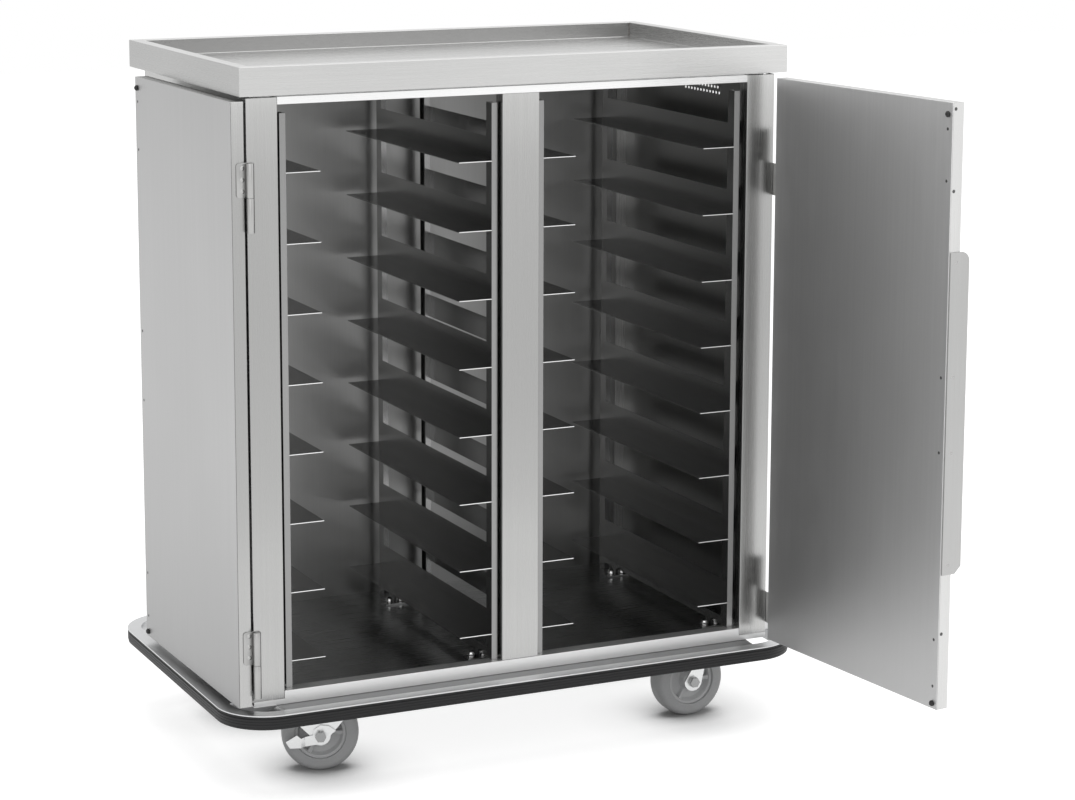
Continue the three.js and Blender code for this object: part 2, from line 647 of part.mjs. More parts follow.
// The door's half of a hinge: a bored knuckle above the joint face and a leaf on the door's edge.
function makeDoorHinge(across, jointZ) {
  const low = jointZ + GAP;
  const high = low + KNUCKLE_HEIGHT;
  const leafBack = INNER_FACE - DOOR_LEAF_SETBACK;
  const leafIn = HINGE_EDGE - GAP;
  const leafOut = leafIn - LEAF_SHEET;
  const knuckle = rodZ(0, 0, low, high, BARREL_RADIUS, BARREL_SIDES);
  const leaf = box([across * leafOut, across * leafIn], [-BARREL_RADIUS, leafBack], [low, high]);
  const curl = box([0, across * leafIn], [-BARREL_RADIUS, -BARREL_RADIUS + LEAF_SHEET], [low, high]);
  const bore = rodZ(0, 0, low - GAP, high + GAP, PIN_RADIUS + PIN_CLEARANCE, BARREL_SIDES);
  return joined([knuckle, leaf, curl]).subtract(bore);
}

// The frame's half: a knuckle below the joint face, the pin rising from it and a leaf on the side.
function makeFrameHinge(side, jointZ) {
  const low = jointZ - KNUCKLE_HEIGHT;
  const x = side * (FRAME_EDGE + PIVOT_OUT);
  const leafIn = FRAME_EDGE + GAP;
  const leafOut = leafIn + LEAF_SHEET;
  return joined([
    rodZ(x, -PIVOT_FORWARD, low, jointZ, BARREL_RADIUS, BARREL_SIDES),
    rodZ(x, -PIVOT_FORWARD, low, jointZ + PIN_RISE, PIN_RADIUS, PIN_SIDES),
    box([side * leafIn, side * leafOut], [-PIVOT_FORWARD, FRAME_LEAF_REACH], [low, jointZ]),
  ]);
}

function makeDoor(name, side, openDegrees) {
  const across = -side;
  const door = new THREE.Group();
  door.position.set(side * (FRAME_EDGE + PIVOT_OUT), -PIVOT_FORWARD, 0);
  door.rotation.z = THREE.MathUtils.degToRad(-across * openDegrees);
  door.add(
    meshOf(`${name}_pan`, makeDoorPan(across), brushedSteel),
    meshOf(`${name}_panel`, makeDoorPanel(across), brushedSteel),
    meshOf(`${name}_handle`, makeHandle(across), brushedSteel),
    meshOf(`${name}_stop_top`, makeStop(across, DOOR_HIGH - STOP_FROM_TOP), blackRubber),
    meshOf(`${name}_stop_low`, makeStop(across, DOOR_LOW + STOP_FROM_LOW), blackRubber),
    meshOf(`${name}_hinge_top`, makeDoorHinge(across, HINGE_TOP_Z), zincPlate),
    meshOf(`${name}_hinge_low`, makeDoorHinge(across, HINGE_LOW_Z), zincPlate),
  );
  return door;
}

// ---- Casters -------------------------------------------------------------------------------------

// Where the four caster plates sit: swivel casters on the left, rigid ones on the right.
function casterPlaces() {
  const swivelX = -FRAME_EDGE + SWIVEL_FROM_SIDE;
  const rigidX = FRAME_EDGE - RIGID_FROM_SIDE;
  return [
    { name: 'caster_front_left', x: swivelX, y: SWIVEL_FROM_END, swivels: true },
    { name: 'caster_rear_left', x: swivelX, y: CABINET_DEPTH - SWIVEL_FROM_END, swivels: true },
    { name: 'caster_front_right', x: rigidX, y: RIGID_FROM_END, swivels: false },
    { name: 'caster_rear_right', x: rigidX, y: CABINET_DEPTH - RIGID_FROM_END, swivels: false },
  ];
}

// A ring or disc turned round the axle, with a facet at the bottom.
function turned(profile) {
  const points = profile.map(([radius, along]) => new THREE.Vector2(radius, along));
  const geometry = new THREE.LatheGeometry(points, WHEEL_SIDES);
  geometry.rotateY(Math.PI / WHEEL_SIDES);
  return solid(geometry);
}

// The tyre's section: straight side walls, then a crown that curves to a flat middle.
function makeTyre() {
  const half = TYRE_WIDTH / 2;
  const flat = TREAD_FLAT / 2;
  const rise = WHEEL_RADIUS - TYRE_SHOULDER_RADIUS;
  const climb = [[TYRE_INNER_RADIUS, -half]];
  for (let step = 0; step <= CROWN_STEPS; step += 1) {
    const angle = (step / CROWN_STEPS) * (Math.PI / 2);
    climb.push([TYRE_SHOULDER_RADIUS + rise * Math.sin(angle), -flat - (half - flat) * Math.cos(angle)]);
  }
  const descent = climb.map(([radius, along]) => [radius, -along]).reverse();
  return turned([...climb, ...descent, climb[0]]);
}

// The core: hub, thin web and rim in one profile, with ribs from hub to rim on both faces.
function makeCore() {
  const bore = AXLE_RADIUS + AXLE_CLEARANCE;
  const hub = HUB_WIDTH / 2;
  const web = CORE_WEB / 2;
  const rim = CORE_WIDTH / 2;
  const rimInner = CORE_RADIUS - CORE_RIM;
  const body = turned([
    [bore, -hub], [HUB_RADIUS, -hub], [HUB_RADIUS, -web], [rimInner, -web], [rimInner, -rim], [CORE_RADIUS, -rim],
    [CORE_RADIUS, rim], [rimInner, rim], [rimInner, web], [HUB_RADIUS, web], [HUB_RADIUS, hub], [bore, hub],
    [bore, -hub],
  ]);
  const ribs = [];
  for (let index = 0; index < RIB_COUNT; index += 1) {
    const ribLength = rimInner - HUB_RADIUS + CORE_RIM;
    const geometry = new THREE.BoxGeometry(ribLength, CORE_WIDTH - 2 * RIB_SETBACK, RIB_WIDTH);
    geometry.translate((rimInner + HUB_RADIUS) / 2, 0, 0);
    geometry.rotateY((index * 2 * Math.PI) / RIB_COUNT);
    ribs.push(solid(geometry));
  }
  return joined([body, ...ribs]);
}

// A bolt through both legs, with a nut at each end that clears what lies between it and the leg.
function makeAxle(nutStart) {
  const end = nutStart + NUT_HEIGHT;
  return joined([
    rodY(0, 0, -end, end, AXLE_RADIUS, AXLE_SIDES),
    rodY(0, 0, -end, -nutStart, NUT_RADIUS, 6),
    rodY(0, 0, nutStart, end, NUT_RADIUS, 6),
  ]);
}

// One leg: a plate that widens from a round end about the axle, and the axle's hole. The corners are
// those behind the axle from the top down, and those ahead of it from the round end up.
function makeLeg(y, behind, ahead) {
  const shape = shapeOf(behind);
  shape.absarc(0, 0, LEG_END_RADIUS, Math.PI, 2 * Math.PI, false);
  ahead.forEach(([x, rise]) => shape.lineTo(x, rise));
  shape.closePath();
  const hole = rodY(0, 0, y - LEG_SHEET, y + 2 * LEG_SHEET, AXLE_RADIUS + AXLE_CLEARANCE, AXLE_SIDES);
  return prismY(shape, y, y + LEG_SHEET, LEG_END_STEPS / 2).subtract(hole);
}

function makeLegs(behind, ahead) {
  return [makeLeg(LEG_IN, behind, ahead), makeLeg(-LEG_OUT, behind, ahead)];
}

// The swivel fork hangs from a ball race round the swivel axis, behind which the wheel trails.
function makeSwivelFork() {
  const top = FORK_TOP - AXLE_HEIGHT;
  const crown = box([-CROWN_BEHIND, LEG_AHEAD], [-LEG_OUT, LEG_OUT], [top - FORK_CROWN, top]);
  const raceTop = CASTER_PLATE_LOW - GAP - AXLE_HEIGHT;
  const race = rodZ(-SWIVEL_LEAD, 0, top - WELD_LAP, raceTop, RACE_RADIUS, RACE_SIDES);
  const behind = [[-CROWN_BEHIND, top], [-LEG_BEHIND, LEG_KNEE]];
  const ahead = [[LEG_AHEAD, LEG_KNEE], [LEG_AHEAD, top]];
  return joined([crown, race, ...makeLegs(behind, ahead)]);
}

function makeRigidFork() {
  const plateTop = CASTER_TOP - AXLE_HEIGHT;
  const plate = box(
    [-CASTER_PLATE_LENGTH / 2, CASTER_PLATE_LENGTH / 2],
    [-CASTER_PLATE_WIDTH / 2, CASTER_PLATE_WIDTH / 2],
    [plateTop - CASTER_PLATE_SHEET, plateTop],
  );
  const half = LEG_TOP_WIDTH / 2;
  const rise = plateTop - CASTER_PLATE_SHEET + WELD_LAP;
  return joined([plate, ...makeLegs([[-half, rise]], [[half, rise]])]);
}

function makeCasterPlate() {
  return box(
    [-CASTER_PLATE_LENGTH / 2, CASTER_PLATE_LENGTH / 2],
    [-CASTER_PLATE_WIDTH / 2, CASTER_PLATE_WIDTH / 2],
    [CASTER_PLATE_LOW, CASTER_TOP],
  );
}

// The lever: an eye round the axle outside the near leg, an ear ahead of it, and an arm behind it that
// jogs outwards to the pedal. Its side outline is cut from a sheet folded along the jog.
function makeBrakeLever() {
  const near = -LEG_OUT - GAP;
  const far = near - LEVER_SHEET;
  const pedalEnd = -ARM_LENGTH - PEDAL_LENGTH;
  const shape = shapeOf([
    [-ARM_LENGTH, -ARM_FALL], [-ARM_LENGTH - PEDAL_SLANT, PEDAL_TIP], [pedalEnd, -PEDAL_SLANT],
    [pedalEnd + PEDAL_SLANT, -PEDAL_LOW], [-ARM_LENGTH, -PEDAL_LOW],
  ]);
  shape.absarc(0, 0, LEVER_EYE_RADIUS, -Math.PI / 2, 0, false);
  shape.lineTo(LEVER_EAR, LEVER_EAR_RISE);
  shape.lineTo(LEVER_EYE_RADIUS, LEVER_PEAK - ARM_FALL);
  shape.lineTo(0, LEVER_PEAK);
  shape.lineTo(-LEVER_WAIST, LEVER_WAIST);
  shape.lineTo(-LEVER_WAIST - ARM_FALL, ARM_FALL);
  shape.closePath();
  const jogStart = JOG_LENGTH - ARM_LENGTH;
  const folded = shapeOf([
    [LEVER_EAR, near], [jogStart, near], [-ARM_LENGTH, near - PEDAL_JOG], [pedalEnd, near - PEDAL_JOG],
    [pedalEnd, far - PEDAL_JOG], [-ARM_LENGTH, far - PEDAL_JOG], [jogStart, far], [LEVER_EAR, far],
  ]);
  const sheet = prismZ(folded, -PEDAL_LOW, LEVER_PEAK);
  const eye = rodY(0, 0, near + LEVER_SHEET, far - LEVER_SHEET, AXLE_RADIUS + AXLE_CLEARANCE, AXLE_SIDES);
  return prismY(shape, far - PEDAL_JOG, near, LEG_END_STEPS / 2).intersect(sheet).subtract(eye);
}

function makeWheel(name) {
  return [meshOf(`${name}_core`, makeCore(), coreGrey), meshOf(`${name}_tyre`, makeTyre(), tyreGrey)];
}

// Each caster's fork, axle and wheel are placed round its wheel centre.
function makeCaster({ name, x, y, swivels }) {
  const caster = new THREE.Group();
  caster.position.set(x, y, 0);
  const turning = new THREE.Group();
  const running = new THREE.Group();
  running.position.set(swivels ? SWIVEL_LEAD : 0, 0, AXLE_HEIGHT);
  turning.rotation.z = swivels ? THREE.MathUtils.degToRad(-SWIVEL_TURN) : 0;
  const nutStart = swivels ? LEG_OUT + LEVER_SHEET + 2 * GAP : LEG_OUT + GAP;
  running.add(
    meshOf(`${name}_fork`, swivels ? makeSwivelFork() : makeRigidFork(), zincPlate),
    meshOf(`${name}_axle`, makeAxle(nutStart), zincPlate),
    ...makeWheel(name),
  );
  if (swivels) {
    running.add(meshOf(`${name}_brake`, makeBrakeLever(), zincPlate));
    caster.add(meshOf(`${name}_plate`, makeCasterPlate(), zincPlate));
  }
  turning.add(running);
  caster.add(turning);
  return caster;
}

// ---- Assembly ------------------------------------------------------------------------------------

const cart = new THREE.Group();
cart.add(
  meshOf('floor_pan', makeFloorPan(), deckSteel),
  meshOf('side_panel_left', makeSidePanel(-1), brushedSteel),
  meshOf('side_panel_right', makeSidePanel(1), brushedSteel),
  meshOf('back_panel', makeBackPanel(), brushedSteel),
  meshOf('top_deck', makeTopDeck(), deckSteel),
  meshOf('header_rail', makeHeader(), brushedSteel),
  meshOf('sill_rail', makeSill(), brushedSteel),
  meshOf('stile_left', makeStile(-1), brushedSteel),
  meshOf('stile_right', makeStile(1), brushedSteel),
  meshOf('mullion', makeMullion(), brushedSteel),
  meshOf('rack_left_outer', makeRack(-RACK_OUTER_X, 1), rackSteel),
  meshOf('rack_left_inner', makeRack(-RACK_INNER_X, -1), rackSteel),
  meshOf('rack_right_inner', makeRack(RACK_INNER_X, 1), rackSteel),
  meshOf('rack_right_outer', makeRack(RACK_OUTER_X, -1), rackSteel),
  meshOf('bumper_channel', makeBumperChannel(), aluminium),
  meshOf('bumper_strip', makeBumperStrip(), blackVinyl),
  ...basePlates(),
  makeDoor('door_left', -1, DOOR_LEFT_OPEN),
  makeDoor('door_right', 1, DOOR_RIGHT_OPEN),
  ...casterPlaces().map(makeCaster),
);
for (const [word, side] of [['left', -1], ['right', 1]]) {
  for (const [place, z] of [['top', HINGE_TOP_Z], ['low', HINGE_LOW_Z]]) {
    cart.add(meshOf(`frame_hinge_${word}_${place}`, makeFrameHinge(side, z), zincPlate));
  }
}

// The origin lies on the floor, under the middle of the whole cart as built.
const middle = new THREE.Box3().setFromObject(cart).getCenter(new THREE.Vector3());
cart.position.set(-middle.x, -middle.y, 0);

export default cart;
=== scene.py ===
import json
import math

import bmesh
import bpy
from mathutils import Matrix, Vector


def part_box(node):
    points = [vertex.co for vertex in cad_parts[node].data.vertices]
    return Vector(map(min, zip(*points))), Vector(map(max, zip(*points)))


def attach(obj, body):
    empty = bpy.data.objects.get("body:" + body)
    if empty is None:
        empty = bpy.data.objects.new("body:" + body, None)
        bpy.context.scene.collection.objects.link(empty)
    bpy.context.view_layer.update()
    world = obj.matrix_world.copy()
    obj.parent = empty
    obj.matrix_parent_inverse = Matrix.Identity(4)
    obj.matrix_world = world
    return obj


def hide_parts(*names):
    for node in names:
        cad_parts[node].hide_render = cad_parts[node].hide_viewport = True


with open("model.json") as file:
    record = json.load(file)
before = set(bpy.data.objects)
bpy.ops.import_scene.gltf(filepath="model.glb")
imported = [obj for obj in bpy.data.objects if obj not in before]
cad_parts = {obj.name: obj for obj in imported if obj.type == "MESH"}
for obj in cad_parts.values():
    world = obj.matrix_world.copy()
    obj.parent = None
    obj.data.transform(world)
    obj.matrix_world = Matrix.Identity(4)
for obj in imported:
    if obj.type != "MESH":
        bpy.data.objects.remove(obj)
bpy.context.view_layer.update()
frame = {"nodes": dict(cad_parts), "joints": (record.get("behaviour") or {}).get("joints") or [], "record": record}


# --- Front frame, side panels and back ------------------------------------------------------------
# Stainless sheet, folded into channels and screwed together. The sheet has a fine grain from the
# mill, up and down on the uprights and panels and across on the header and the sill.

def shader_of(name):
    material = bpy.data.materials.new(name)
    material.use_nodes = True
    return material, material.node_tree.nodes, material.node_tree.links


def link_noise(nodes, links, stretch, detail):
    """A noise pattern on Object coordinates, with its own features in a metre on each axis."""
    where = nodes.new("ShaderNodeTexCoord")
    placed = nodes.new("ShaderNodeMapping")
    placed.inputs["Scale"].default_value = stretch
    noise = nodes.new("ShaderNodeTexNoise")
    noise.inputs["Scale"].default_value = 1.0
    noise.inputs["Detail"].default_value = detail
    links.new(where.outputs["Object"], placed.inputs["Vector"])
    links.new(placed.outputs["Vector"], noise.inputs["Vector"])
    return noise.outputs["Fac"]


def link_range(nodes, links, value, low, high, start=0.3, end=0.7):
    mapped = nodes.new("ShaderNodeMapRange")
    mapped.inputs["From Min"].default_value = start
    mapped.inputs["From Max"].default_value = end
    mapped.inputs["To Min"].default_value = low
    mapped.inputs["To Max"].default_value = high
    links.new(value, mapped.inputs["Value"])
    return mapped.outputs["Result"]


def link_math(nodes, links, operation, first, second):
    result = nodes.new("ShaderNodeMath")
    result.operation = operation
    links.new(first, result.inputs[0])
    links.new(second, result.inputs[1])
    return result.outputs["Value"]


def link_tint(nodes, links, value, dark, light):
    """A colour between two, by a value from 0 to 1."""
    ramp = nodes.new("ShaderNodeValToRGB")
    ramp.color_ramp.elements[0].color = (*dark, 1)
    ramp.color_ramp.elements[1].color = (*light, 1)
    links.new(value, ramp.inputs["Fac"])
    return ramp.outputs["Color"]


def link_heights(nodes, links, heights):
    """A share that follows the height above the floor."""
    where = nodes.new("ShaderNodeTexCoord")
    parts = nodes.new("ShaderNodeSeparateXYZ")
    curve = nodes.new("ShaderNodeFloatCurve")
    links.new(where.outputs["Object"], parts.inputs["Vector"])
    links.new(parts.outputs["Z"], curve.inputs["Value"])
    points = curve.mapping.curves[0].points
    curve.mapping.use_clip = False
    for point, (height, share) in zip(points, heights):
        point.location = (height, share)
    for height, share in heights[len(points):]:
        points.new(height, share)
    curve.mapping.update()
    return curve.outputs["Value"]


def link_bump(nodes, links, shader, value, strength, depth):
    bump = nodes.new("ShaderNodeBump")
    bump.inputs["Strength"].default_value = strength
    bump.inputs["Distance"].default_value = depth
    links.new(value, bump.inputs["Height"])
    links.new(bump.outputs["Normal"], shader.inputs["Normal"])


# The grain's axis.
ACROSS, BACK, UP = 0, 1, 2
# Bands are wider and shorter than the grain by these factors. Clouds are given by the metre.
BAND_WIDER = 9
BAND_SHORTER = 7
CLOUDS = (1.9, 1.9, 1.9)
# The darkest and the lightest share of the tone.
DARKEST, LIGHTEST = 0.72, 1.28


def grained_steel(
    name, tone, grain, gloss, fine=1500.0, long=9.0, depth=0.000008, cloud=0.14, heights=(),
):
    """Metal sheet of one tone with a fine grain along one axis, faint clouds and a shallow bump.

    Where pairs of height and share are given, the tone changes with the height above the floor, which paints
    reflections and shade.
    """
    material, nodes, links = shader_of(name)
    steel = nodes["Principled BSDF"]
    steel.inputs["Metallic"].default_value = 1.0
    stretch = [fine, fine, fine]
    stretch[grain] = long
    bands = [fine / BAND_WIDER] * 3
    bands[grain] = long / BAND_SHORTER
    grain_value = link_noise(nodes, links, stretch, 3.0)
    band_value = link_noise(nodes, links, bands, 2.0)
    cloud_value = link_noise(nodes, links, CLOUDS, 2.0)
    # The shares multiply to about a half, the middle between the dark and the light tint.
    grain_share = link_range(nodes, links, grain_value, 0.45, 0.55)
    band_share = link_range(nodes, links, band_value, 0.95, 1.05)
    cloud_share = link_range(nodes, links, cloud_value, 1.0 - cloud, 1.0 + cloud)
    share = link_math(nodes, links, "MULTIPLY", grain_share, band_share)
    share = link_math(nodes, links, "MULTIPLY", share, cloud_share)
    if heights:
        height_share = link_heights(nodes, links, heights)
        share = link_math(nodes, links, "MULTIPLY", share, height_share)
    dark = [channel * DARKEST for channel in tone]
    light = [min(channel * LIGHTEST, 1.0) for channel in tone]
    links.new(link_tint(nodes, links, share, dark, light), steel.inputs["Base Color"])
    roughness = link_range(nodes, links, grain_value, gloss - 0.03, gloss + 0.05)
    links.new(roughness, steel.inputs["Roughness"])
    link_bump(nodes, links, steel, grain_value, 0.3, depth)
    return material


def finish_node(material, *names):
    for name in names:
        mesh = frame["nodes"][name].data
        mesh.materials.clear()
        mesh.materials.append(material)


def shade_faces(mesh, material, chosen):
    """One more material, on the faces that a test picks."""
    mesh.materials.append(material)
    for face in mesh.polygons:
        if chosen(face):
            face.material_index = len(mesh.materials) - 1


def body_of_node(name):
    bodies = frame["record"]["behaviour"]["bodies"]
    return next(body for body, members in bodies.items() if name in members)


# Vertices closer than this are one, and faces within this angle of flat are joined.
MERGE_DISTANCE = 0.00002
FLAT_ANGLE = math.radians(1)
# Edges sharper than this are eased.
SHARP_ANGLE = math.radians(40)


def ease_edges(node, width, material, segments=2):
    """A copy of a node's mesh with its sharp edges eased, which stands for the node."""
    piece = frame["nodes"][node].copy()
    piece.data = piece.data.copy()
    piece.name = piece.data.name = node + "_eased"
    for key in list(piece.keys()):
        del piece[key]
    piece.parent = None
    bpy.context.scene.collection.objects.link(piece)
    shape = bmesh.new()
    shape.from_mesh(piece.data)
    bmesh.ops.remove_doubles(shape, verts=shape.verts, dist=MERGE_DISTANCE)
    bmesh.ops.dissolve_limit(
        shape, angle_limit=FLAT_ANGLE, verts=shape.verts, edges=shape.edges,
    )
    shape.to_mesh(piece.data)
    shape.free()
    eased = piece.modifiers.new("eased", "BEVEL")
    eased.width = width
    eased.segments = segments
    eased.limit_method = "ANGLE"
    eased.angle_limit = SHARP_ANGLE
    eased.use_clamp_overlap = True
    piece.data.materials.clear()
    piece.data.materials.append(material)
    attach(piece, body_of_node(node))
    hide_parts(node)
    return piece


# Pairs of height and share: a painted reflection, bright at both ends of the uprights.
UPRIGHT_PAINTED_REFLECTION = (
    (0.177, 1.4), (0.4, 1.0), (0.75, 0.3), (1.1, 0.5), (1.25, 1.0), (1.332, 1.9),
)
upright_painted_reflection = grained_steel(
    "upright_painted_reflection", (0.42, 0.42, 0.415), UP, 0.24, cloud=0.2, heights=UPRIGHT_PAINTED_REFLECTION,
)
# The header and the sill take a much lighter tone than the uprights and panels: painted light.
header_painted_light = grained_steel("header_painted_light", (0.88, 0.88, 0.875), ACROSS, 0.25)
panel_steel = grained_steel("panel_steel", (0.46, 0.46, 0.455), UP, 0.28)
lining_painted_shade = grained_steel("lining_painted_shade", (0.3, 0.3, 0.297), UP, 0.34, depth=0.000002)
for node in ("stile_left", "stile_right", "mullion"):
    ease_edges(node, 0.0008, upright_painted_reflection)
# The sill's lighter tone is painted light too.
sill_painted_light = grained_steel("sill_painted_light", (0.88, 0.88, 0.875), ACROSS, 0.42)
ease_edges("header_rail", 0.0006, header_painted_light)
ease_edges("sill_rail", 0.0006, sill_painted_light)
finish_node(panel_steel, "side_panel_left", "side_panel_right", "back_panel")
# The panels' inner faces, in the compartments, are rougher than the outer ones, and a darker tone paints the
# compartments' shade on them.
FACING = 0.9
for node, inward in (
    ("side_panel_left", (1, 0, 0)), ("side_panel_right", (-1, 0, 0)), ("back_panel", (0, -1, 0)),
):
    inward = Vector(inward)
    shade_faces(
        frame["nodes"][node].data, lining_painted_shade, lambda face: face.normal.dot(inward) > FACING,
    )

# The floor pan's darker tone is painted shade of the compartments' inside.
floor_pan_painted_shade = grained_steel("floor_pan_painted_shade", (0.37, 0.375, 0.375), ACROSS, 0.26)
finish_node(floor_pan_painted_shade, "floor_pan")


# --- Top deck -------------------------------------------------------------------------------------
# One folded and welded tray with a box rim, in the same sheet. The grain runs along the cart.
# The welds in its four inner corners are ground back and stay a little darker than the sheet.

deck_steel = grained_steel("deck_steel", (0.55, 0.55, 0.545), ACROSS, 0.25)
# The rim's faces that look sideways, and those at the back that look forward, take a darker tone: painted shade.
rim_painted_shade = grained_steel("rim_painted_shade", (0.38, 0.38, 0.376), BACK, 0.25)
deck = ease_edges("top_deck", 0.0011, deck_steel, 3)
shade_faces(
    deck.data, rim_painted_shade,
    lambda face: abs(face.normal.x) > FACING or (face.normal.y < -FACING and face.center.y > 0),
)

weld_tint = grained_steel(
    "weld_tint", (0.2, 0.19, 0.18), UP, 0.5, fine=260.0, long=60.0, depth=0.0002,
)
RIM_WIDTH = 0.025
DECK_RECESS = 0.031
WELD_RADIUS = 0.0016
deck_low, deck_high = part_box("top_deck")


def join_shapes(name, shapes, material, body, smooth_angle=40):
    """One piece from several bmeshes, riding on a body."""
    mesh = bpy.data.meshes.new(name)
    whole = bmesh.new()
    for shape in shapes:
        part = bpy.data.meshes.new("part")
        shape.to_mesh(part)
        shape.free()
        whole.from_mesh(part)
        bpy.data.meshes.remove(part)
    bmesh.ops.recalc_face_normals(whole, faces=whole.faces)
    whole.to_mesh(mesh)
    whole.free()
    mesh.materials.append(material)
    piece = bpy.data.objects.new(name, mesh)
    bpy.context.scene.collection.objects.link(piece)
    mesh.shade_smooth()
    mesh.set_sharp_from_angle(angle=math.radians(smooth_angle))
    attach(piece, body)
    return piece


def weld_bead(x, y):
    bead = bmesh.new()
    bmesh.ops.create_cone(
        bead, cap_ends=True, segments=8, radius1=WELD_RADIUS, radius2=WELD_RADIUS,
        depth=DECK_RECESS - 2 * WELD_RADIUS,
    )
    bmesh.ops.translate(bead, verts=bead.verts, vec=(x, y, deck_high.z - DECK_RECESS / 2))
    return bead


rim_inner_x = (deck_low.x + RIM_WIDTH, deck_high.x - RIM_WIDTH)
rim_inner_y = (deck_low.y + RIM_WIDTH, deck_high.y - RIM_WIDTH)
join_shapes(
    "deck_corner_welds",
    [weld_bead(x, y) for x in rim_inner_x for y in rim_inner_y],
    weld_tint, "cabinet",
)


# --- Tray racks -----------------------------------------------------------------------------------
# Angle slides spot-welded to channel uprights, in plain mill sheet, whose dark tone is painted shade of the
# compartments' inside.
# Each rack's feet are held to the floor by two domed nuts.

rack_painted_shade = grained_steel("rack_painted_shade", (0.27, 0.27, 0.268), BACK, 0.22)
slide_end_painted_highlight = grained_steel("slide_end_painted_highlight", (0.8, 0.8, 0.795), ACROSS, 0.3)
RACKS = ("rack_left_outer", "rack_left_inner", "rack_right_inner", "rack_right_outer")
# The slides' front ends are thin faces, which take a bright tone: a painted highlight.
CUT_EDGE_HEIGHT = 0.004


def is_cut_edge(face, mesh):
    heights = [mesh.vertices[index].co.z for index in face.vertices]
    return face.normal.y < -FACING and max(heights) - min(heights) < CUT_EDGE_HEIGHT


finish_node(rack_painted_shade, *RACKS)
for rack in RACKS:
    rack_mesh = frame["nodes"][rack].data
    shade_faces(rack_mesh, slide_end_painted_highlight, lambda face: is_cut_edge(face, rack_mesh))

bright_nut = grained_steel("bright_nut", (0.74, 0.74, 0.735), UP, 0.14, fine=900.0, long=900.0)
FOOT_SHEET = 0.003
FOOT_INSET = 0.076
FOOT_GAP = 0.003
NUT_SPACING = 0.026
NUT_FLAT_HEIGHT = 0.007
NUT_RADIUS = 0.0065
NUT_CORNER_RADIUS = NUT_RADIUS * 1.15
NUT_EASE = NUT_RADIUS * 0.08
SLIDE_WIDTH = 0.068


def round_edges(shape, edges, width, segments=2):
    bmesh.ops.bevel(
        shape, geom=edges, offset=width, segments=segments, profile=0.5, affect="EDGES",
        material=-1,
    )


def ball_cap(radius, drop, around, rings):
    """The part of a ball that stands above the XY plane, closed below."""
    ball = bmesh.new()
    bmesh.ops.create_uvsphere(ball, u_segments=around, v_segments=rings, radius=radius)
    bmesh.ops.translate(ball, verts=ball.verts, vec=(0, 0, -drop))
    bmesh.ops.bisect_plane(
        ball, geom=ball.verts[:] + ball.edges[:] + ball.faces[:],
        plane_co=(0, 0, 0), plane_no=(0, 0, -1), clear_outer=True,
    )
    bmesh.ops.holes_fill(ball, edges=[edge for edge in ball.edges if edge.is_boundary])
    return ball


def domed_nut(x, y, z):
    """A six-sided nut under a dome that covers the stud."""
    nut = bmesh.new()
    bmesh.ops.create_cone(
        nut, cap_ends=True, segments=6, radius1=NUT_CORNER_RADIUS, radius2=NUT_CORNER_RADIUS,
        depth=NUT_FLAT_HEIGHT,
    )
    bmesh.ops.translate(nut, verts=nut.verts, vec=(0, 0, NUT_FLAT_HEIGHT / 2))
    round_edges(nut, [edge for edge in nut.edges if edge.is_manifold], NUT_EASE)
    dome = ball_cap(NUT_RADIUS, 0, 16, 10)
    bmesh.ops.translate(dome, verts=dome.verts, vec=(0, 0, NUT_FLAT_HEIGHT))
    for part in (nut, dome):
        bmesh.ops.translate(part, verts=part.verts, vec=(x, y, z))
    return [nut, dome]


foot_nuts = []
for rack, tray_side in zip(RACKS, (1, -1, 1, -1)):
    rack_low, rack_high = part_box(rack)
    face_x = rack_high.x - SLIDE_WIDTH if tray_side > 0 else rack_low.x + SLIDE_WIDTH
    for foot_y in (rack_low.y + FOOT_INSET, rack_high.y - FOOT_INSET):
        for step in (-1, 1):
            nut_x = face_x - tray_side * FOOT_GAP + step * NUT_SPACING / 2
            foot_nuts += domed_nut(nut_x, foot_y, rack_low.z + FOOT_SHEET)
join_shapes("rack_foot_nuts", foot_nuts, bright_nut, "cabinet")


# --- Doors ----------------------------------------------------------------------------------------
# Double-walled doors: a deep pan closed by a flat inner sheet, with rubber stops near the free
# edge. Screws go through the inner sheet and the edges. A flat grip is riveted to the free edge.

# Painted shade and light: the inner faces darken towards the floor, and the left door's inner sheet is painted
# darker, the right one's lighter.
DOOR_PAINTED_SHADE_HEIGHTS = ((0.19, 0.2), (0.55, 0.8), (0.8, 1.0), (1.33, 1.0))
door_inner_painted_shading = {
    side: grained_steel(
        f"door_inner_painted_shading_{side}", (tone, tone, tone), UP, gloss, heights=DOOR_PAINTED_SHADE_HEIGHTS,
    )
    for side, tone, gloss in (("left", 0.41, 0.4), ("right", 0.7, 0.46))
}
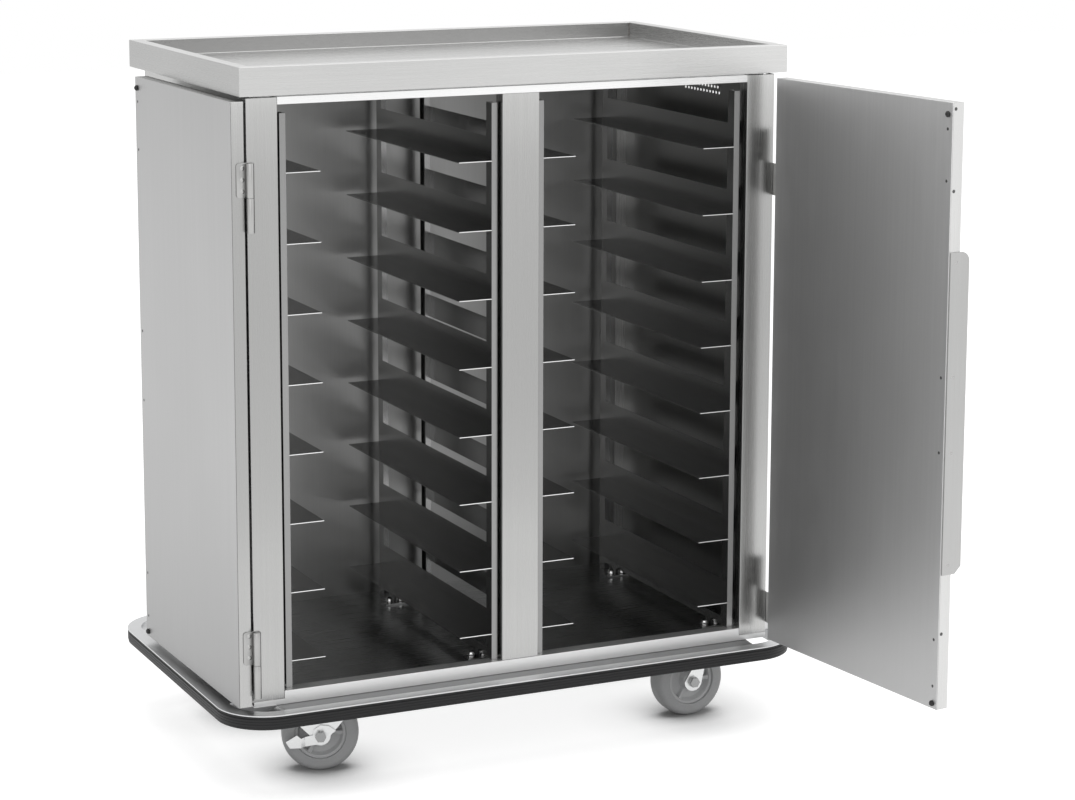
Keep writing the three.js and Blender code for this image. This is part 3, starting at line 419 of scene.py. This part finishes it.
# The pans' edges differ by side as painted light: the left one darker, with the uprights' painted reflection, the
# right one lighter.
door_edge_painted_shading = {
    "left": grained_steel(
        "door_edge_steel_left", (0.42, 0.42, 0.415), UP, 0.25, heights=UPRIGHT_PAINTED_REFLECTION,
    ),
    "right": grained_steel("door_edge_steel_right", (0.56, 0.56, 0.555), UP, 0.28),
}
handle_steel = grained_steel("handle_steel", (0.41, 0.41, 0.406), UP, 0.3)
stop_rubber, rubber_nodes, rubber_links = shader_of("stop_rubber")
rubber_nodes["Principled BSDF"].inputs["Base Color"].default_value = (0.012, 0.012, 0.012, 1)
rubber_grain = link_noise(rubber_nodes, rubber_links, (900, 900, 900), 2.0)
rubber_links.new(
    link_range(rubber_nodes, rubber_links, rubber_grain, 0.5, 0.75),
    rubber_nodes["Principled BSDF"].inputs["Roughness"],
)
for side in ("left", "right"):
    ease_edges(f"door_{side}_pan", 0.0012, door_edge_painted_shading[side], 3)
    ease_edges(f"door_{side}_panel", 0.0006, door_inner_painted_shading[side])
    ease_edges(f"door_{side}_handle", 0.0007, handle_steel)
    finish_node(stop_rubber, f"door_{side}_stop_top", f"door_{side}_stop_low")

# Places on a door are measured when it is shut, from its hinge pin, as across, back and height.
DOOR_HINGE_EDGE = 0.010
DOOR_WIDTH = 0.531
DOOR_FREE_EDGE = DOOR_HINGE_EDGE + DOOR_WIDTH
DOOR_INNER_FACE = 0.034
HANDLE_FACE = DOOR_FREE_EDGE + 0.0033
HEAD_RISE = 0.0014
EDGE_SCREW_RADIUS = 0.0034
EDGE_SCREW_INSET = 0.007
EDGE_SCREW_HEIGHTS = (1.318, 1.168, 0.337)
INNER_SCREW_RADIUS = 0.003
INNER_SCREW_RISE = 0.0009
INNER_SCREW_INSET = 0.013
INNER_SCREW_HEIGHTS = (1.281, 1.186, 0.822, 0.681, 0.324, 0.234)
RIVET_RADIUS = 0.0034
RIVET_INSET = 0.015
RIVET_HEIGHTS = (1.0375, 0.8245, 0.682, 0.469)
LEAF_SCREW_RADIUS = 0.0042
LEAF_SCREW_BACK = 0.0125
LEAF_SCREW_HEIGHTS = (1.208, 1.187, 1.166, 0.329, 0.308, 0.287)
LEAF_FACE = 0.0077


def joint_of(body):
    return next(joint for joint in frame["joints"] if joint["child"] == body)


def door_place(side, across):
    """Carries places on the shut door, taken from its pin, to where the door stands."""
    joint = joint_of(f"door_{side}")
    shut = joint["range_deg"][1] if across > 0 else joint["range_deg"][0]
    return Matrix.Translation(joint["pos_m"]) @ Matrix.Rotation(math.radians(-shut), 4, "Z")


def head_row(radius, rise, x, y, heights, facing, place):
    """Low domed screw or rivet heads one above the other on a door, which all face one way."""
    ball_radius = (radius ** 2 + rise ** 2) / (2 * rise)
    turn = Vector((0, 0, 1)).rotation_difference(Vector(facing)).to_matrix().to_4x4()
    heads = []
    for height in heights:
        head = ball_cap(ball_radius, ball_radius - rise, 18, 36)
        spot = Matrix.Translation((x, y, height))
        bmesh.ops.transform(head, matrix=place @ spot @ turn, verts=head.verts)
        heads.append(head)
    return heads


screw_steel = grained_steel("screw_steel", (0.4, 0.4, 0.395), UP, 0.16, fine=900.0, long=900.0)
dark_screw = grained_steel("dark_screw", (0.1, 0.1, 0.1), UP, 0.35, fine=900.0, long=900.0)
SIDES = (("left", 1), ("right", -1))
for side, across in SIDES:
    place = door_place(side, across)
    outward, hingeward, backward = (across, 0, 0), (-across, 0, 0), (0, 1, 0)
    screws = head_row(
        EDGE_SCREW_RADIUS, HEAD_RISE, across * DOOR_FREE_EDGE, DOOR_INNER_FACE - EDGE_SCREW_INSET,
        EDGE_SCREW_HEIGHTS, outward, place,
    )
    screws += head_row(
        INNER_SCREW_RADIUS, INNER_SCREW_RISE, across * (DOOR_FREE_EDGE - INNER_SCREW_INSET),
        DOOR_INNER_FACE, INNER_SCREW_HEIGHTS, backward, place,
    )
    join_shapes(f"door_{side}_screws", screws, dark_screw, f"door_{side}")
    rivets = head_row(
        RIVET_RADIUS, HEAD_RISE, across * HANDLE_FACE, DOOR_INNER_FACE - RIVET_INSET,
        RIVET_HEIGHTS, outward, place,
    )
    join_shapes(f"door_{side}_handle_rivets", rivets, screw_steel, f"door_{side}")
    leaf_screws = head_row(
        LEAF_SCREW_RADIUS, HEAD_RISE, across * LEAF_FACE, LEAF_SCREW_BACK,
        LEAF_SCREW_HEIGHTS, hingeward, place,
    )
    join_shapes(f"door_{side}_hinge_screws", leaf_screws, screw_steel, f"door_{side}")


# --- Hinges ---------------------------------------------------------------------------------------
# Lift-off hinges in plain steel: the door's half drops over a pin on the frame's half.
# Each half is a round knuckle and a leaf with two rounded corners.

hinge_steel = grained_steel("hinge_steel", (0.4, 0.4, 0.395), UP, 0.28)
KNUCKLE_RADIUS = 0.0072
KNUCKLE_HEIGHT = 0.064
LEAF_SHEET = 0.002
LEAF_CORNER = 0.006
LEAF_EASE = 0.0003
ROD_EASE = 0.0006
PIN_RADIUS = 0.003
PIN_ROOT = 0.001
# Each plate's near and far face across, and its front and back edge, from the pin's axis.
DOOR_LEAF = (LEAF_FACE, LEAF_FACE + LEAF_SHEET, -KNUCKLE_RADIUS, 0.024)
DOOR_CURL = (0.0, LEAF_FACE + LEAF_SHEET, -KNUCKLE_RADIUS, LEAF_SHEET - KNUCKLE_RADIUS)
FRAME_LEAF = (0.0047, 0.0067, 0.0, 0.066)


def eased_rod(radius, low, high):
    rod = bmesh.new()
    bmesh.ops.create_cone(
        rod, cap_ends=True, segments=32, radius1=radius, radius2=radius, depth=high - low,
    )
    rims = [edge for edge in rod.edges if any(len(face.verts) > 4 for face in edge.link_faces)]
    round_edges(rod, rims, ROD_EASE)
    bmesh.ops.translate(rod, verts=rod.verts, vec=(0, 0, (low + high) / 2))
    return rod


def leaf_plate(across, extent, low, high, corner=0.0):
    """A flat plate beside the pin. Its two rear corners are rounded where a radius is given."""
    near, far, front, back = extent
    plate = bmesh.new()
    bmesh.ops.create_cube(plate, size=1)
    bmesh.ops.scale(plate, vec=(far - near, back - front, high - low), verts=plate.verts)
    bmesh.ops.translate(
        plate, verts=plate.verts,
        vec=(across * (near + far) / 2, (front + back) / 2, (low + high) / 2),
    )
    if corner:
        rear = [
            edge for edge in plate.edges
            if all(abs(vertex.co.y - back) < MERGE_DISTANCE for vertex in edge.verts)
            and abs(edge.verts[0].co.x - edge.verts[1].co.x) > MERGE_DISTANCE
        ]
        round_edges(plate, rear, corner, 8)
    sharp = [edge for edge in plate.edges if edge.calc_face_angle(0) > SHARP_ANGLE]
    round_edges(plate, sharp, LEAF_EASE)
    return plate


for side, across in SIDES:
    swing = door_place(side, across)
    pin = swing.translation
    for place in ("top", "low"):
        door_low, door_high = (corner.z - pin.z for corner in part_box(f"door_{side}_hinge_{place}"))
        half = [
            eased_rod(KNUCKLE_RADIUS, door_low, door_high),
            leaf_plate(across, DOOR_LEAF, door_low, door_high, LEAF_CORNER),
            leaf_plate(across, DOOR_CURL, door_low, door_high),
        ]
        for shape in half:
            bmesh.ops.transform(shape, matrix=swing, verts=shape.verts)
        piece = join_shapes(f"door_{side}_leaf_{place}", half, hinge_steel, f"door_{side}")
        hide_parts(f"door_{side}_hinge_{place}")

        node = f"frame_hinge_{side}_{place}"
        frame_low, pin_high = (corner.z - pin.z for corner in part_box(node))
        joint_face = frame_low + KNUCKLE_HEIGHT
        half = [
            eased_rod(KNUCKLE_RADIUS, frame_low, joint_face),
            eased_rod(PIN_RADIUS, joint_face - PIN_ROOT, pin_high),
            leaf_plate(across, FRAME_LEAF, frame_low, joint_face, LEAF_CORNER),
        ]
        for shape in half:
            bmesh.ops.translate(shape, verts=shape.verts, vec=pin)
        piece = join_shapes(f"frame_leaf_{side}_{place}", half, hinge_steel, "cabinet")
        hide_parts(node)


# --- Bumper base ----------------------------------------------------------------------------------
# An extruded aluminium channel bent round the cart's base, with a ribbed black vinyl strip pressed
# in. Plates bridge the channel and the cabinet on each side, dark at the front and the back.

channel_low, channel_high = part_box("bumper_channel")
CORNER_RADIUS = 0.1
CORNER_STEPS = 18
SEAM_DISTANCE = 0.00005


def wrap_round(name, section, material, node):
    """A section, given as inward and height, swept round the base's rounded rectangle."""
    right, back = channel_high.x, channel_high.y
    left, front = channel_low.x, channel_low.y
    middle = (left + right) / 2
    sweep = bmesh.new()
    ring = [sweep.verts.new((middle, front + inward, height)) for inward, height in section]
    edges = [sweep.edges.new(ends) for ends in zip(ring, ring[1:] + ring[:1])]

    def run(profile, vector):
        made = bmesh.ops.extrude_edge_only(sweep, edges=profile)["geom"]
        moved = [item for item in made if isinstance(item, bmesh.types.BMVert)]
        bmesh.ops.translate(sweep, verts=moved, vec=vector)
        return [item for item in made if isinstance(item, bmesh.types.BMEdge)]

    def corner(profile, x, y):
        made = bmesh.ops.spin(
            sweep, geom=profile, cent=(x, y, 0), axis=(0, 0, 1), angle=math.pi / 2,
            steps=CORNER_STEPS,
        )["geom_last"]
        return [item for item in made if isinstance(item, bmesh.types.BMEdge)]

    half_x = right - middle - CORNER_RADIUS
    long_y = back - front - 2 * CORNER_RADIUS
    edges = run(edges, (half_x, 0, 0))
    edges = corner(edges, right - CORNER_RADIUS, front + CORNER_RADIUS)
    edges = run(edges, (0, long_y, 0))
    edges = corner(edges, right - CORNER_RADIUS, back - CORNER_RADIUS)
    edges = run(edges, (-2 * half_x, 0, 0))
    edges = corner(edges, left + CORNER_RADIUS, back - CORNER_RADIUS)
    edges = run(edges, (0, -long_y, 0))
    edges = corner(edges, left + CORNER_RADIUS, front + CORNER_RADIUS)
    run(edges, (half_x, 0, 0))
    bmesh.ops.remove_doubles(sweep, verts=sweep.verts, dist=SEAM_DISTANCE)
    piece = join_shapes(name, [sweep], material, "cabinet", 35)
    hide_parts(node)


CHANNEL_SHEET = 0.002
CHANNEL_WIDTH = 0.028
LOWER_FLANGE = 0.014
LIP_EASE = 0.0003
top, low = channel_high.z, channel_low.z
web = CHANNEL_WIDTH - CHANNEL_SHEET
flange_edge = CHANNEL_WIDTH - LOWER_FLANGE
channel_section = [
    (LIP_EASE, top), (0, top - LIP_EASE), (0, top - CHANNEL_SHEET), (web, top - CHANNEL_SHEET),
    (web, low + CHANNEL_SHEET), (flange_edge, low + CHANNEL_SHEET), (flange_edge, low),
    (CHANNEL_WIDTH, low), (CHANNEL_WIDTH, top),
]
lip_aluminium = grained_steel(
    "lip_aluminium", (0.62, 0.625, 0.63), ACROSS, 0.36, fine=400.0, long=400.0,
)
wrap_round("bumper_channel_bent", channel_section, lip_aluminium, "bumper_channel")

STRIP_GAP = 0.0003
RIB_COUNT = 5
RIB_DEPTH = 0.0012
# The first and the last rib stand further in than the ones between.
END_RIB_INSET = 0.0012
RIB_INSET = 0.0002
# Each rib's two corners are cut off, this deep and between these heights from the groove.
RIB_CUT = 0.0004
RIB_CUT_LOW, RIB_CUT_HIGH = 0.0002, 0.0008
strip_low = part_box("bumper_strip")[0].z
strip_top = top - CHANNEL_SHEET - STRIP_GAP
strip_back = flange_edge - STRIP_GAP
rib_height = (strip_top - strip_low) / RIB_COUNT
strip_section = [(strip_back, strip_top)]
for rib in range(RIB_COUNT):
    rib_top = strip_top - rib * rib_height
    rib_low = rib_top - rib_height
    inset = END_RIB_INSET if rib in (0, RIB_COUNT - 1) else RIB_INSET
    strip_section += [
        (inset + RIB_CUT, rib_top - RIB_CUT_LOW), (inset, rib_top - RIB_CUT_HIGH),
        (inset, rib_low + RIB_CUT_HIGH), (inset + RIB_CUT, rib_low + RIB_CUT_LOW),
        (inset + RIB_DEPTH, rib_low),
    ]
strip_section += [(strip_back, strip_low)]
vinyl, vinyl_nodes, vinyl_links = shader_of("bumper_vinyl")
vinyl_nodes["Principled BSDF"].inputs["Specular IOR Level"].default_value = 0.36
vinyl_grain = link_noise(vinyl_nodes, vinyl_links, (600, 600, 600), 2.0)
vinyl_links.new(
    link_tint(vinyl_nodes, vinyl_links, vinyl_grain, (0.007, 0.007, 0.0075), (0.016, 0.016, 0.017)),
    vinyl_nodes["Principled BSDF"].inputs["Base Color"],
)
vinyl_links.new(
    link_range(vinyl_nodes, vinyl_links, vinyl_grain, 0.42, 0.6),
    vinyl_nodes["Principled BSDF"].inputs["Roughness"],
)
wrap_round("bumper_vinyl_strip", strip_section, vinyl, "bumper_strip")

plate_paint = grained_steel("plate_paint", (0.21, 0.212, 0.215), ACROSS, 0.36)
finish_node(plate_paint, "base_plate_front", "base_plate_back")
finish_node(lip_aluminium, "base_plate_left", "base_plate_right")


# --- Casters --------------------------------------------------------------------------------------
# Grey polyurethane tyres on moulded cores with three ribs, in pressed and zinc-plated forks.
# The left casters swivel on a ball race and carry a brake lever; the right ones are fixed.

zinc_plate = grained_steel(
    "zinc_plate", (0.68, 0.685, 0.685), UP, 0.3, fine=260.0, long=260.0, depth=0.00005,
)
# The axles take a much darker tone than the forks: painted shade of the dark ring round each nut.
axle_painted_shade = grained_steel(
    "axle_painted_shade", (0.3, 0.302, 0.302), UP, 0.24, fine=260.0, long=260.0, depth=0.00005,
)
SWIVEL_CASTERS = ("front_left", "rear_left")
CASTERS = (*SWIVEL_CASTERS, "front_right", "rear_right")
for caster in CASTERS:
    ease_edges(f"caster_{caster}_fork", 0.0012, zinc_plate, 3)
    ease_edges(f"caster_{caster}_axle", 0.00025, axle_painted_shade)
for caster in SWIVEL_CASTERS:
    ease_edges(f"caster_{caster}_brake", 0.0006, zinc_plate)
    finish_node(zinc_plate, f"caster_{caster}_plate")


def moulded(name, dark, light, low_gloss, high_gloss):
    material, nodes, links = shader_of(name)
    speckle = link_noise(nodes, links, (420, 420, 420), 3.0)
    plastic = nodes["Principled BSDF"]
    links.new(link_tint(nodes, links, speckle, dark, light), plastic.inputs["Base Color"])
    links.new(link_range(nodes, links, speckle, low_gloss, high_gloss), plastic.inputs["Roughness"])
    link_bump(nodes, links, plastic, speckle, 0.25, 0.0002)
    return material


tyre_urethane = moulded("tyre_urethane", (0.42, 0.423, 0.427), (0.52, 0.523, 0.527), 0.42, 0.6)
core_nylon = moulded("core_nylon", (0.56, 0.563, 0.567), (0.68, 0.683, 0.687), 0.36, 0.55)

WHEEL_STEPS = 96
WHEEL_EASE = 0.001
WHEEL_GAP = 0.0003
TYRE_INNER = 0.05
TYRE_HALF = 0.025
TREAD_HALF = 0.009
TYRE_SHOULDER = 0.063
CROWN_STEPS = 8
CORE_HALF = 0.02
CORE_RIM = 0.006
CORE_WEB_HALF = 0.006
HUB_RADIUS = 0.019
HUB_HALF = 0.028
CORE_BORE = 0.0064
CORE_RIBS = 3
CORE_RIB_SHEET = 0.008
CORE_RIB_INSET = 0.003
CORE_RIB_ROOT = 0.002
CORE_RIB_EASE = 0.0015


def turned_ring(section):
    """A closed section, given as radius and along, turned round the Y axis."""
    ring = bmesh.new()
    corners = [ring.verts.new((0, along, radius)) for radius, along in section]
    edges = [ring.edges.new(ends) for ends in zip(corners, corners[1:] + corners[:1])]
    bmesh.ops.spin(
        ring, geom=corners + edges, cent=(0, 0, 0), axis=(0, 1, 0), angle=2 * math.pi,
        steps=WHEEL_STEPS, use_merge=True,
    )
    bmesh.ops.remove_doubles(ring, verts=ring.verts, dist=MERGE_DISTANCE)
    return ring


def mirrored_section(half):
    """A section closed by the same points on the wheel's other side."""
    return half + [(radius, -along) for radius, along in reversed(half)]


def rounded_steps(radius):
    """The tyre's crown from its shoulder to its flat middle."""
    steps = []
    for step in range(CROWN_STEPS + 1):
        angle = step / CROWN_STEPS * math.pi / 2
        height = TYRE_SHOULDER + (radius - TYRE_SHOULDER) * math.sin(angle)
        steps.append((height, TREAD_HALF + (TYRE_HALF - TREAD_HALF) * math.cos(angle)))
    return steps


for caster in CASTERS:
    spin_joint = joint_of(f"wheel_{caster}")
    centre = Vector(spin_joint["pos_m"])
    turn = Vector((0, 1, 0)).rotation_difference(Vector(spin_joint["axis"])).to_matrix().to_4x4()
    place = Matrix.Translation(centre) @ turn
    tyre_section = [
        (TYRE_INNER, TYRE_HALF - WHEEL_EASE), (TYRE_INNER + WHEEL_EASE, TYRE_HALF),
        *rounded_steps(centre.z),
    ]
    tyre = turned_ring(mirrored_section(tyre_section))
    bmesh.ops.transform(tyre, matrix=place, verts=tyre.verts)
    tyre_piece = join_shapes(
        f"caster_{caster}_tread", [tyre], tyre_urethane, f"wheel_{caster}",
    )
    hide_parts(f"caster_{caster}_tyre")

    core_radius = TYRE_INNER - WHEEL_GAP
    rim_inner = core_radius - CORE_RIM
    core_section = [
        (CORE_BORE, HUB_HALF), (HUB_RADIUS - 2 * WHEEL_EASE, HUB_HALF),
        (HUB_RADIUS, HUB_HALF - 2 * WHEEL_EASE),
        (HUB_RADIUS + WHEEL_EASE, CORE_WEB_HALF + 2 * WHEEL_EASE),
        (HUB_RADIUS + 3 * WHEEL_EASE, CORE_WEB_HALF), (rim_inner - 3 * WHEEL_EASE, CORE_WEB_HALF),
        (rim_inner - WHEEL_EASE, CORE_WEB_HALF + 2 * WHEEL_EASE),
        (rim_inner, CORE_HALF - WHEEL_EASE), (rim_inner + WHEEL_EASE, CORE_HALF),
        (core_radius, CORE_HALF),
    ]
    core = turned_ring(mirrored_section(core_section))
    rib_length = rim_inner - HUB_RADIUS + 2 * CORE_RIB_ROOT
    rib_width = 2 * CORE_HALF - 2 * CORE_RIB_INSET
    ribs = []
    for index in range(CORE_RIBS):
        rib = bmesh.new()
        bmesh.ops.create_cube(rib, size=1)
        bmesh.ops.scale(rib, vec=(rib_length, rib_width, CORE_RIB_SHEET), verts=rib.verts)
        round_edges(rib, rib.edges[:], CORE_RIB_EASE, 3)
        bmesh.ops.translate(rib, verts=rib.verts, vec=((rim_inner + HUB_RADIUS) / 2, 0, 0))
        turned = Matrix.Rotation(index * 2 * math.pi / CORE_RIBS, 3, "Y")
        bmesh.ops.rotate(rib, verts=rib.verts, cent=(0, 0, 0), matrix=turned)
        ribs.append(rib)
    for shape in (core, *ribs):
        bmesh.ops.transform(shape, matrix=place, verts=shape.verts)
    core_piece = join_shapes(
        f"caster_{caster}_centre", [core, *ribs], core_nylon, f"wheel_{caster}",
    )
    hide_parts(f"caster_{caster}_core")


# --- Studio ---------------------------------------------------------------------------------------
# A pale floor, a white surround and three large soft lights. The camera stands a little to the left
# of the cart and looks slightly down, with the verticals held upright by a shifted lens.

FLOOR_HALF = 14
floor_mesh = bpy.data.meshes.new("studio_floor")
floor_shape = bmesh.new()
bmesh.ops.create_grid(floor_shape, x_segments=1, y_segments=1, size=FLOOR_HALF)
floor_shape.to_mesh(floor_mesh)
floor_shape.free()
floor = bpy.data.objects.new("studio_floor", floor_mesh)
bpy.context.scene.collection.objects.link(floor)


def link_seen(nodes, links):
    """1 where the camera, a reflection or a view through glass meets the surround."""
    path = nodes.new("ShaderNodeLightPath")
    seen = path.outputs["Is Camera Ray"]
    for ray in ("Is Glossy Ray", "Is Transmission Ray"):
        seen = link_math(nodes, links, "MAXIMUM", seen, path.outputs[ray])
    return seen


floor_white, floor_nodes, floor_links = shader_of("studio_floor_white")
floor_paint = floor_nodes["Principled BSDF"]
floor_paint.inputs["Base Color"].default_value = (0.52, 0.52, 0.52, 1)
floor_paint.inputs["Roughness"].default_value = 0.9
floor_paint.inputs["Specular IOR Level"].default_value = 0.0
# The floor's own white grows away from the cart, where the lamps fall off, so it stays white.
floor_where = floor_nodes.new("ShaderNodeTexCoord")
floor_reach = floor_nodes.new("ShaderNodeVectorMath")
floor_reach.operation = "LENGTH"
floor_links.new(floor_where.outputs["Object"], floor_reach.inputs[0])
far_white = link_range(
    floor_nodes, floor_links, floor_reach.outputs["Value"], low=0.8, high=0.95, start=0.5, end=2.2,
)
# Painted shadow: the floor's glow fades close under the wheels, which leaves their soft contact shadows.
CONTACT_REACH = 0.17
nearness = floor_nodes.new("ShaderNodeAmbientOcclusion")
nearness.inputs["Distance"].default_value = CONTACT_REACH
open_share = link_range(
    floor_nodes, floor_links, nearness.outputs["AO"], low=0.0, high=1.0, start=0.5, end=0.98,
)
glow = floor_nodes.new("ShaderNodeEmission")
floor_links.new(
    link_math(floor_nodes, floor_links, "MULTIPLY", far_white, open_share), glow.inputs["Strength"],
)
both = floor_nodes.new("ShaderNodeAddShader")
mixed = floor_nodes.new("ShaderNodeMixShader")
floor_links.new(floor_paint.outputs["BSDF"], both.inputs[0])
floor_links.new(glow.outputs["Emission"], both.inputs[1])
floor_links.new(link_seen(floor_nodes, floor_links), mixed.inputs["Fac"])
floor_links.new(floor_paint.outputs["BSDF"], mixed.inputs[1])
floor_links.new(both.outputs["Shader"], mixed.inputs[2])
floor_links.new(mixed.outputs["Shader"], floor_nodes["Material Output"].inputs["Surface"])
floor_mesh.materials.append(floor_white)

world = bpy.data.worlds.new("studio")
bpy.context.scene.world = world
world.use_nodes = True
world_nodes, world_links = world.node_tree.nodes, world.node_tree.links
ambient = world_nodes["Background"]
ambient.inputs["Color"].default_value = (1, 1, 1, 1)
ambient.inputs["Strength"].default_value = 0.5
surround = world_nodes.new("ShaderNodeBackground")
surround.inputs["Color"].default_value = (1, 1, 1, 1)
surround.inputs["Strength"].default_value = 1.0
world_mix = world_nodes.new("ShaderNodeMixShader")
world_links.new(link_seen(world_nodes, world_links), world_mix.inputs["Fac"])
world_links.new(ambient.outputs["Background"], world_mix.inputs[1])
world_links.new(surround.outputs["Background"], world_mix.inputs[2])
world_links.new(world_mix.outputs["Shader"], world_nodes["World Output"].inputs["Surface"])


LAMP_AIM = Vector((0, 0, 0.6))


def soft_light(name, place, size, power):
    data = bpy.data.lights.new(name, "AREA")
    data.shape = "DISK"
    data.size = size
    data.energy = power
    light = bpy.data.objects.new(name, data)
    light.location = place
    light.rotation_euler = (LAMP_AIM - Vector(place)).to_track_quat("-Z", "Y").to_euler()
    bpy.context.scene.collection.objects.link(light)


soft_light("key", (-3.6, -5.5, 4.3), 8.4, 104)
soft_light("fill", (3.8, -3.6, 3.4), 6.4, 42)
soft_light("overhead", (0.2, -0.2, 4.2), 4.6, 60)

# The camera's place is measured from the cabinet's front left edge, on the floor.
front_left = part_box("stile_left")[0]
CAMERA_PLACE = (-1.739, -4.869, 1.8754)
CAMERA_TURN = 24.65
CAMERA_DOWN = 9.93
FOCAL_PIXELS = 2843.0
PHOTO_WIDTH = 1075
PHOTO_HEIGHT = 800
CENTRE_X = 493.0
CENTRE_Y = 292.5
SENSOR = 36.0
camera_data = bpy.data.cameras.new("photo_camera")
camera_data.sensor_width = SENSOR
camera_data.lens = FOCAL_PIXELS / PHOTO_WIDTH * SENSOR
camera_data.shift_x = (PHOTO_WIDTH / 2 - CENTRE_X) / PHOTO_WIDTH
camera_data.shift_y = (CENTRE_Y - PHOTO_HEIGHT / 2) / PHOTO_WIDTH
camera_data.clip_end = 100
camera = bpy.data.objects.new("photo_camera", camera_data)
camera.location = (
    front_left.x + CAMERA_PLACE[0], front_left.y + CAMERA_PLACE[1], CAMERA_PLACE[2],
)
camera.rotation_euler = (math.radians(90 - CAMERA_DOWN), 0, math.radians(-CAMERA_TURN))
bpy.context.scene.collection.objects.link(camera)
bpy.context.scene.camera = camera
bpy.context.scene.view_settings.view_transform = "Standard"
